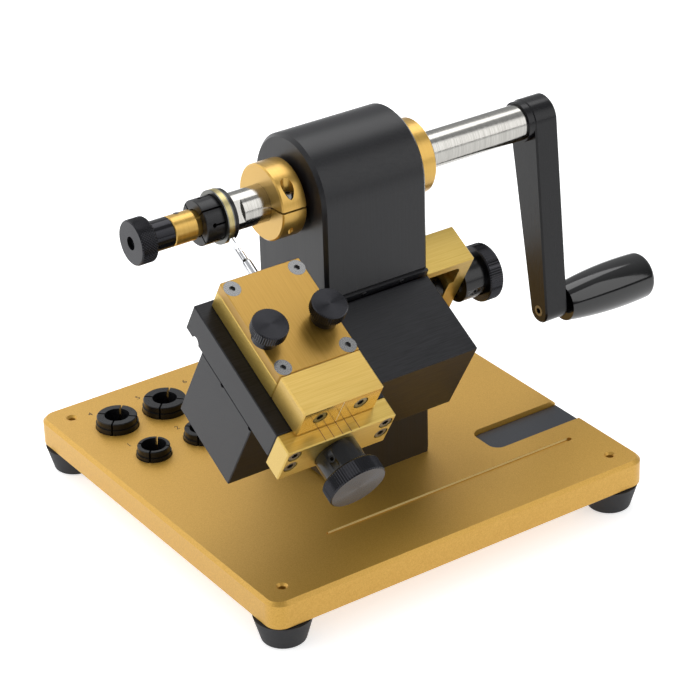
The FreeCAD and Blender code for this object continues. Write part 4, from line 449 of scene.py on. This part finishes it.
def between(station, low, high):
    """Whether each station lies between two others."""
    return (station >= low) & (station <= high)


def straight_knurl(count, depth, low, high):
    """V grooves along the axis: the radius less depth times a triangle wave, count times round."""
    def relief(station, turn, radius):
        return radius - depth * zigzag(count * turn / (2 * math.pi)) * between(station, low, high)
    return relief


def diamond_knurl(count, pitch, depth, low, high):
    """Two sets of slanting V grooves that cross: the deeper of both triangle waves counts."""
    def relief(station, turn, radius):
        round_it, length = count * turn / (2 * math.pi), station / pitch
        grooves = np.maximum(zigzag(round_it + length), zigzag(round_it - length))
        return radius - depth * grooves * between(station, low, high)
    return relief


def thread(pitch, depth, low, high):
    """One V thread: the radius less depth times a triangle wave that climbs one pitch a turn."""
    def relief(station, turn, radius):
        climb = turn / (2 * math.pi) - station / pitch
        return radius - depth * zigzag(climb) * between(station, low, high)
    return relief


def beaded_rim(count, depth, half_width, rim):
    """The wheel's rim: a hollow across it, deepest in count cups round it."""
    def relief(station, turn, radius):
        hollow = np.clip(1 - (station / half_width) ** 2, 0, 1)
        cups = 0.5 + 0.5 * zigzag(count * turn / (2 * math.pi))
        return radius - depth * hollow * cups * (radius >= rim)
    return relief


# Turned pieces. Stations are mm along each joint's axis from its origin.

# Steps to a diamond of knurl, to a straight groove and to a pitch of thread, and a thread's sides
KNURL_STEPS = 8
STRAIGHT_STEPS = 4
THREAD_STEPS = 6
THREAD_SIDES = 24


def make_draw_knob(material):
    """Knob at the left end: a diamond knurled head with a hole in its face, and a smooth neck."""
    face, neck_end, head = extent("draw_knob", "draw_knob_turn")
    head_length, neck, neck_bevel = 7.3, 6.3, 0.3
    hole, hole_depth, bore = 2.8, 1.6, 2.42
    bevel, pitch, knurl_depth = 0.6, 1.2, 0.38
    head_end, hole_floor = face + head_length, face + hole_depth
    count = round(2 * math.pi * head / pitch)
    rim = run((face + bevel, head), (head_end - bevel, head), pitch / KNURL_STEPS)
    profile = np.concatenate([
        [(hole_floor, hole), (face, hole), (face, head - bevel)], rim,
        [(head_end, head - bevel), (head_end, neck), (neck_end - neck_bevel, neck),
         (neck_end, neck - neck_bevel), (neck_end, bore), (hole_floor, bore)]])
    relief = diamond_knurl(count, pitch, knurl_depth, face + bevel, head_end - bevel)
    fit(turned("draw_knob_knurled", "draw_knob_turn", profile, count * KNURL_STEPS, relief, loop=True),
        "draw_knob", material)


def hub_of(name, node, joint):
    """A feed knob's plain hub from a copy of the CAD mesh: the head is left off and the end closed."""
    hub_radius, spare = 9.3, 0.1
    origin = Vector(JOINTS[joint]["pos_m"])
    axis = Vector(JOINTS[joint]["axis"])
    shape = bmesh.new()
    shape.from_mesh(NODES[node].data)
    bmesh.ops.remove_doubles(shape, verts=shape.verts, dist=1e-6)
    limit = (hub_radius + spare) * MM
    outside = [point for point in shape.verts if (point.co - origin).cross(axis).length > limit]
    bmesh.ops.delete(shape, geom=outside, context="VERTS")
    bmesh.ops.holes_fill(shape, edges=[edge for edge in shape.edges if edge.is_boundary])
    mesh = bpy.data.meshes.new(name)
    shape.to_mesh(mesh)
    shape.free()
    return tidy(mesh)


def make_feed_knob(node, joint, hub_material, head_material):
    """A feed knob: the CAD hub with its set screw hole, and a straight knurled head with a faced end."""
    hub_start, high, radius = extent(node, joint)
    hub_length, bevel, ridges, knurl_depth = 10.8, 0.6, 72, 0.32
    low = hub_start + hub_length
    rim = run((low + bevel, radius), (high - bevel, radius), 1.0)
    profile = np.concatenate([[(low, 0), (low, radius - bevel)], rim,
                              [(high, radius - bevel), (high, 0)]])
    relief = straight_knurl(ridges, knurl_depth, low + bevel, high - bevel)
    head = turned(node + "_head_knurled", joint, profile, ridges * STRAIGHT_STEPS, relief)
    fit(head, node, head_material)
    fit(hub_of(node + "_hub", node, joint), node, hub_material)


def make_thumb_screw(node, joint, material):
    """A thumb screw: knurled head with a faced top, smooth shoulder and the plain shank under it."""
    tip, high, head = extent(node, joint)
    shank_length, shank, shoulder = 12.7, 2.1, 5.5
    head_length, bevel, ridges, knurl_depth = 5.2, 0.5, 48, 0.26
    seat, low = tip + shank_length, high - head_length
    rim = run((low + bevel, head), (high - bevel, head), 1.0)
    profile = np.concatenate([
        [(tip, 0), (tip, shank), (seat, shank), (seat, shoulder), (low, shoulder), (low, head - bevel)],
        rim, [(high, head - bevel), (high, 0)]])
    relief = straight_knurl(ridges, knurl_depth, low + bevel, high - bevel)
    fit(turned(node + "_knurled", joint, profile, ridges * STRAIGHT_STEPS, relief), node, material)


def make_thread(node, joint, pitch, material):
    """A threaded rod as long and as thick as its CAD node, its ends bevelled by the thread's depth."""
    start, end, radius = extent(node, joint)
    # A cut thread is a little over half its pitch deep
    depth = 0.54 * pitch
    rows = run((start + depth, radius), (end - depth, radius), pitch / THREAD_STEPS)
    profile = np.concatenate([[(start, 0), (start, radius - depth)], rows,
                              [(end, radius - depth), (end, 0)]])
    relief = thread(pitch, depth, start + depth, end - depth)
    fit(turned(node + "_threaded", joint, profile, THREAD_SIDES, relief), node, material)


def make_wheel(material):
    """The beading wheel: a small hardened disc whose rim is hollow and cupped all round."""
    left, right, radius = extent("millgrain_wheel", "wheel_turn")
    bore, beads, cup_depth = 0.4, 24, 0.12
    rim = run((left, radius), (right, radius), 0.05)
    profile = np.concatenate([[(left, bore)], rim, [(right, bore)]])
    relief = beaded_rim(beads, cup_depth, right, radius)
    fit(turned("beading_wheel", "wheel_turn", profile, beads * STRAIGHT_STEPS, relief, loop=True),
        "millgrain_wheel", material)


# Engraved lines and seat numbers

def strip(name, start, end, out, width, height):
    """A thin line with round ends on a face: it stands out of it by its height and goes as deep into it.

    Rows: middle below, outline below, outline above, middle above. The outline is half the width
    times (cos, sin) of the turn, its two halves moved apart to the line's ends.
    """
    sides = 16
    turn = (np.arange(sides) + 0.5) * 2 * math.pi / sides
    middle, half = (start + end) / 2, np.linalg.norm(end - start) / 2
    along = (end - start) / (2 * half)
    across = np.cross(out, along)
    far = np.sign(np.sin(turn)) * (half - width / 2) + np.sin(turn) * width / 2
    outline = middle + far[:, None] * along + (np.cos(turn) * width / 2)[:, None] * across
    centre = np.repeat(middle[None], sides, axis=0)
    rows = [centre - out * height, outline - out * height,
            outline + out * height, centre + out * height]
    return shell(name, np.stack(rows), np.arange(4.0))


# How far each line or number stands out of its face
LINE_HEIGHT = 0.02


def make_painted_groove_highlight(highlight_paint):
    """A painted highlight: a pale strip along the pin groove's back wall that stands for the bright line
    of light there.
    """
    wall, left, right, below_top, width = -61.9, -46.8, 78.4, 0.55, 1.0
    level = PLATE_TOP - below_top
    path = strip("groove_painted_highlight_strip", np.array([left, wall, level]), np.array([right, wall, level]),
                 np.array([0.0, -1.0, 0.0]), width, LINE_HEIGHT)
    fit(path, "base_plate", highlight_paint, stands_for=False)


def make_ticks(paint):
    """Five ticks across the end plate's top, a little short of its edges."""
    ticks, inset, width = (-67.9, -64.0, -59.9, -55.9, -52.0), 0.2, 0.3
    top = reach("end_plate", SLOPE_START, SLOPE_OUT)[1]
    front, back = reach("end_plate", SLOPE_START, SLOPE_ALONG)
    for number, x in enumerate(ticks, 1):
        line = strip("end_plate_tick_%d" % number, on_slope(x, front + inset, top),
                     on_slope(x, back - inset, top), SLOPE_OUT, width, LINE_HEIGHT)
        fit(line, "end_plate", paint, stands_for=False)


def make_index_line(metal):
    """One scribed line down the front block's face."""
    middle, low, high, width = -60.0, 105.4, 118.4, 0.25
    face = reach("holder_front_block", SLOPE_START, SLOPE_ALONG)[0]
    line = strip("front_block_index", on_slope(middle, face, low), on_slope(middle, face, high),
                 -SLOPE_ALONG, width, LINE_HEIGHT)
    fit(line, "holder_front_block", metal, stands_for=False)


def lettering(words, height, thick):
    """Words as a mesh that lies flat, its middle over the origin from left to right."""
    curve = bpy.data.curves.new("seat_number", "FONT")
    curve.body = words
    curve.size = height * MM
    curve.extrude = thick * MM
    curve.align_x = "CENTER"
    written = bpy.data.objects.new("seat_number", curve)
    scene.collection.objects.link(written)
    bpy.context.view_layer.update()
    ready = written.evaluated_get(bpy.context.evaluated_depsgraph_get())
    mesh = bpy.data.meshes.new_from_object(ready)
    bpy.data.objects.remove(written)
    bpy.data.curves.remove(curve)
    return mesh


def make_seat_numbers(paint):
    """A plain number behind each collet seat: three in the front row and three in the back row."""
    height, columns, rows = 4.2, 3, 2
    first_column, first_row, column_pitch, row_pitch = -76.0, 46.8, 24.5, 33.6
    for seat in range(columns * rows):
        mesh = lettering(str(seat + 1), height, LINE_HEIGHT)
        row, column = divmod(seat, columns)
        place = Vector((first_column + column_pitch * column, first_row + row_pitch * row, PLATE_TOP))
        mesh.transform(Matrix.Translation(place * MM))
        mesh.name = "seat_number_%d" % (seat + 1)
        mesh.materials.clear()
        fit(tidy(mesh), "base_plate", paint, stands_for=False)


# Which finish each CAD node has

GOLD_PLATE = plate_gold()
GOLD_BLOCK = milled_gold("milled_gold_anodised_aluminium", MILLED_ALONG_SPINDLE, ("#C8A64E", "#D6B862"))
GOLD_CLAMP = milled_gold("ground_gold_anodised_aluminium", (0.4, 14.0, 14.0), ("#AC8434", "#BA9140"))
GOLD_FACING = facing_gold()
GOLD_TURNED = turned_gold()
BLACK_TOWER = tower_black()
BLACK_SLIDE = slide_black()
BLACK_ARM = arm_black()
BLACK_KNOB = knob_black()
BLACK_FACED = faced_black()
BLACK_OXIDE = oxide_black()
STEEL_SCREW = screw_steel()
STEEL_GROUND = ground_steel()
STEEL_TOOL = tool_steel()

FINISHES = [
    (GOLD_PLATE, ["base_plate"]),
    (GOLD_BLOCK, ["x_feed_bracket", "end_plate", "tool_holder"]),
    (GOLD_CLAMP, ["holder_clamp_plate"]),
    (GOLD_FACING, ["holder_front_block"]),
    (GOLD_TURNED, ["left_collar_upper", "left_collar_lower", "right_collar", "expander_sleeve"]),
    (BLACK_TOWER, ["tower", "keeper_strip"]),
    (BLACK_SLIDE, ["cross_bar", "carriage_base"]),
    (BLACK_ARM, ["crank_arm"]),
    (BLACK_KNOB, ["draw_knob", "x_feed_knob", "infeed_knob", "thumb_screw_left", "thumb_screw_right"]),
    (BLACK_OXIDE, ["tower_screws", "spare_collet_1", "spare_collet_2", "spare_collet_3",
                   "spare_collet_4", "spare_collet_5", "stop_washer", "expanding_collet", "keeper_screws",
                   "right_collar_screw", "x_feed_knob_screw", "x_feed_collar", "infeed_knob_screw",
                   "infeed_thrust_collar"]),
    (STEEL_SCREW, ["foot_screws", "bracket_screws", "left_collar_screws", "crank_screw",
                   "handle_lock_screw", "sleeve_retaining_screw", "carriage_screws", "end_plate_screws",
                   "clamp_plate_screws", "front_block_screws", "infeed_nut_screw"]),
    (STEEL_GROUND, ["spindle_shaft", "handle_axle"]),
    (STEEL_TOOL, ["draw_stud", "x_feed_screw", "tool_shank", "wheel_pin", "millgrain_wheel",
                  "infeed_screw"]),
    (wrench_grey(), ["collet_remover"]),
    (bush_bronze(), ["spindle_bushes", "infeed_nut"]),
    (ring_gold(), ["work_ring"]),
    (foot_rubber(), ["rubber_feet"]),
    (handle_plastic(), ["crank_handle"]),
]
for material, names in FINISHES:
    for name in names:
        NODES[name].material_slots[0].material = material

# Both feed screws have 20 turns to the inch
FEED_PITCH = 1.27
STUD_PITCH = 0.8

make_draw_knob(BLACK_FACED)
make_feed_knob("x_feed_knob", "x_feed_turn", BLACK_KNOB, BLACK_FACED)
make_feed_knob("infeed_knob", "infeed_turn", BLACK_KNOB, BLACK_FACED)
make_thumb_screw("thumb_screw_left", "thumb_left_turn", BLACK_FACED)
make_thumb_screw("thumb_screw_right", "thumb_right_turn", BLACK_FACED)
make_thread("x_feed_screw", "x_feed_turn", FEED_PITCH, STEEL_TOOL)
make_thread("infeed_screw", "infeed_turn", FEED_PITCH, STEEL_TOOL)
make_thread("draw_stud", "draw_knob_turn", STUD_PITCH, STEEL_TOOL)
make_wheel(STEEL_TOOL)
make_ticks(marking("oxblood_paint_in_ticks", "#7B4A3E", 0.5))
make_index_line(marking("bare_scribed_line", "#F0E2BC", 0.4))
# The pin groove's highlight is painted: a pale strip stands for the bright line of light in it
make_painted_groove_highlight(marking("painted_highlight_in_pin_groove", "#FFEEA8", 0.4))
make_seat_numbers(marking("brown_laser_marking", "#4A3718", 0.6))


# Floor, light and camera

def make_floor():
    """A wide pale floor that reads white where nothing shades it, and keeps the object's shadow."""
    half, own_light = 12.0, 0.62
    mesh = bpy.data.meshes.new("floor")
    corners = np.array([(-half, -half, 0), (half, -half, 0), (half, half, 0), (-half, half, 0)])
    mesh.from_pydata(corners, [], [(0, 1, 2, 3)])
    floor = bpy.data.objects.new("floor", mesh)
    scene.collection.objects.link(floor)
    material = bpy.data.materials.new("pale_floor")
    material.use_nodes = True
    tree = material.node_tree
    tree.nodes.clear()
    # Only what looks at the floor sees its own light, which lights nothing else
    path = add(tree, "LightPath").outputs
    seen = path["Is Camera Ray"]
    for look in ("Is Glossy Ray", "Is Transmission Ray"):
        seen = add(tree, "Math", {0: seen, 1: path[look]}, operation="MAXIMUM").outputs[0]
    glow = add(tree, "Math", {0: seen, 1: own_light}, operation="MULTIPLY")
    paper = add(tree, "BsdfDiffuse", {"Color": linear("#F0F0F0")})
    light = add(tree, "Emission", {"Strength": glow.outputs[0]})
    both = add(tree, "AddShader", {0: paper.outputs[0], 1: light.outputs[0]})
    add(tree, "OutputMaterial", {"Surface": both.outputs[0]})
    mesh.materials.append(material)


def make_world():
    """A studio tent: bright above and behind, dimmer to the right and dimmer still behind the camera."""
    world = bpy.data.worlds.new("studio_tent")
    world.use_nodes = True
    scene.world = world
    tree = world.node_tree
    tree.nodes.clear()
    heading = add(tree, "SeparateXYZ", {0: add(tree, "TexCoord").outputs["Generated"]}).outputs
    # Between two headings along each axis the light goes smoothly from the first share to the second
    shares = [("Z", -0.1, 0.8, 0.62, 1.0), ("Y", -0.9, 0.2, 0.42, 1.0), ("X", -0.4, 0.9, 1.0, 0.85)]
    strength = 0.72
    for axis, low, high, first, second in shares:
        share = add(tree, "MapRange", {"Value": heading[axis], "From Min": low, "From Max": high,
                                       "To Min": first, "To Max": second}, interpolation_type="SMOOTHSTEP")
        product = add(tree, "Math", {0: share.outputs["Result"], 1: strength}, operation="MULTIPLY")
        strength = product.outputs[0]
    sky = add(tree, "Background", {"Color": (0.97, 0.985, 1.0, 1.0), "Strength": strength})
    add(tree, "OutputWorld", {"Surface": sky.outputs[0]})


def make_softbox(name, place, target, width, height, glow):
    """A flat lamp in metres, aimed at a point, as bright per area as glow where 1 is white."""
    lamp = bpy.data.lights.new(name, "AREA")
    lamp.shape = "RECTANGLE"
    lamp.size, lamp.size_y = width, height
    lamp.energy = glow * math.pi * width * height
    box = bpy.data.objects.new(name, lamp)
    box.location = place
    box.rotation_euler = (Vector(target) - Vector(place)).to_track_quat("-Z", "Y").to_euler()
    box.visible_camera = False
    scene.collection.objects.link(box)


def make_camera():
    """The photograph's view: its place, heading, dip and roll come from a fit to the plate and tower."""
    place = Vector((-551.45, -827.37, 603.82)) * MM
    heading, dip, roll = 0.5950, 0.4956, -0.0282
    focal_pixels, frame_pixels, sensor = 2647.32, 700, 36.0
    ahead = Vector((math.sin(heading) * math.cos(dip), math.cos(heading) * math.cos(dip),
                    -math.sin(dip)))
    right = Vector((math.cos(heading), -math.sin(heading), 0))
    up = right.cross(ahead)
    turned_right = right * math.cos(roll) + up * math.sin(roll)
    turned_up = up * math.cos(roll) - right * math.sin(roll)
    data = bpy.data.cameras.new("camera")
    data.sensor_width = sensor
    data.lens = focal_pixels / frame_pixels * sensor
    data.clip_start, data.clip_end = 0.01, 100
    camera = bpy.data.objects.new("camera", data)
    camera.matrix_world = Matrix.Translation(place) @ Matrix(
        (turned_right, turned_up, -ahead)).transposed().to_4x4()
    scene.collection.objects.link(camera)
    scene.camera = camera


# Each lamp's name, place, target, width, height and glow
SOFTBOXES = [
    ("back_left_softbox", (-0.20, 0.62, 0.42), (0, 0, 0.06), 0.95, 0.75, 1.0),
    ("overhead_softbox", (0.34, 0.20, 0.86), (0, 0, 0.08), 0.5, 0.5, 2.4),
    ("left_softbox", (-0.85, 0.10, 0.40), (0, 0, 0.10), 0.5, 0.7, 1.2),
    ("front_right_softbox", (0.55, -0.80, 0.62), (0, 0, 0.10), 0.5, 0.95, 1.8),
]

make_floor()
make_world()
for softbox in SOFTBOXES:
    make_softbox(*softbox)
make_camera()
scene.view_settings.view_transform = "Standard"
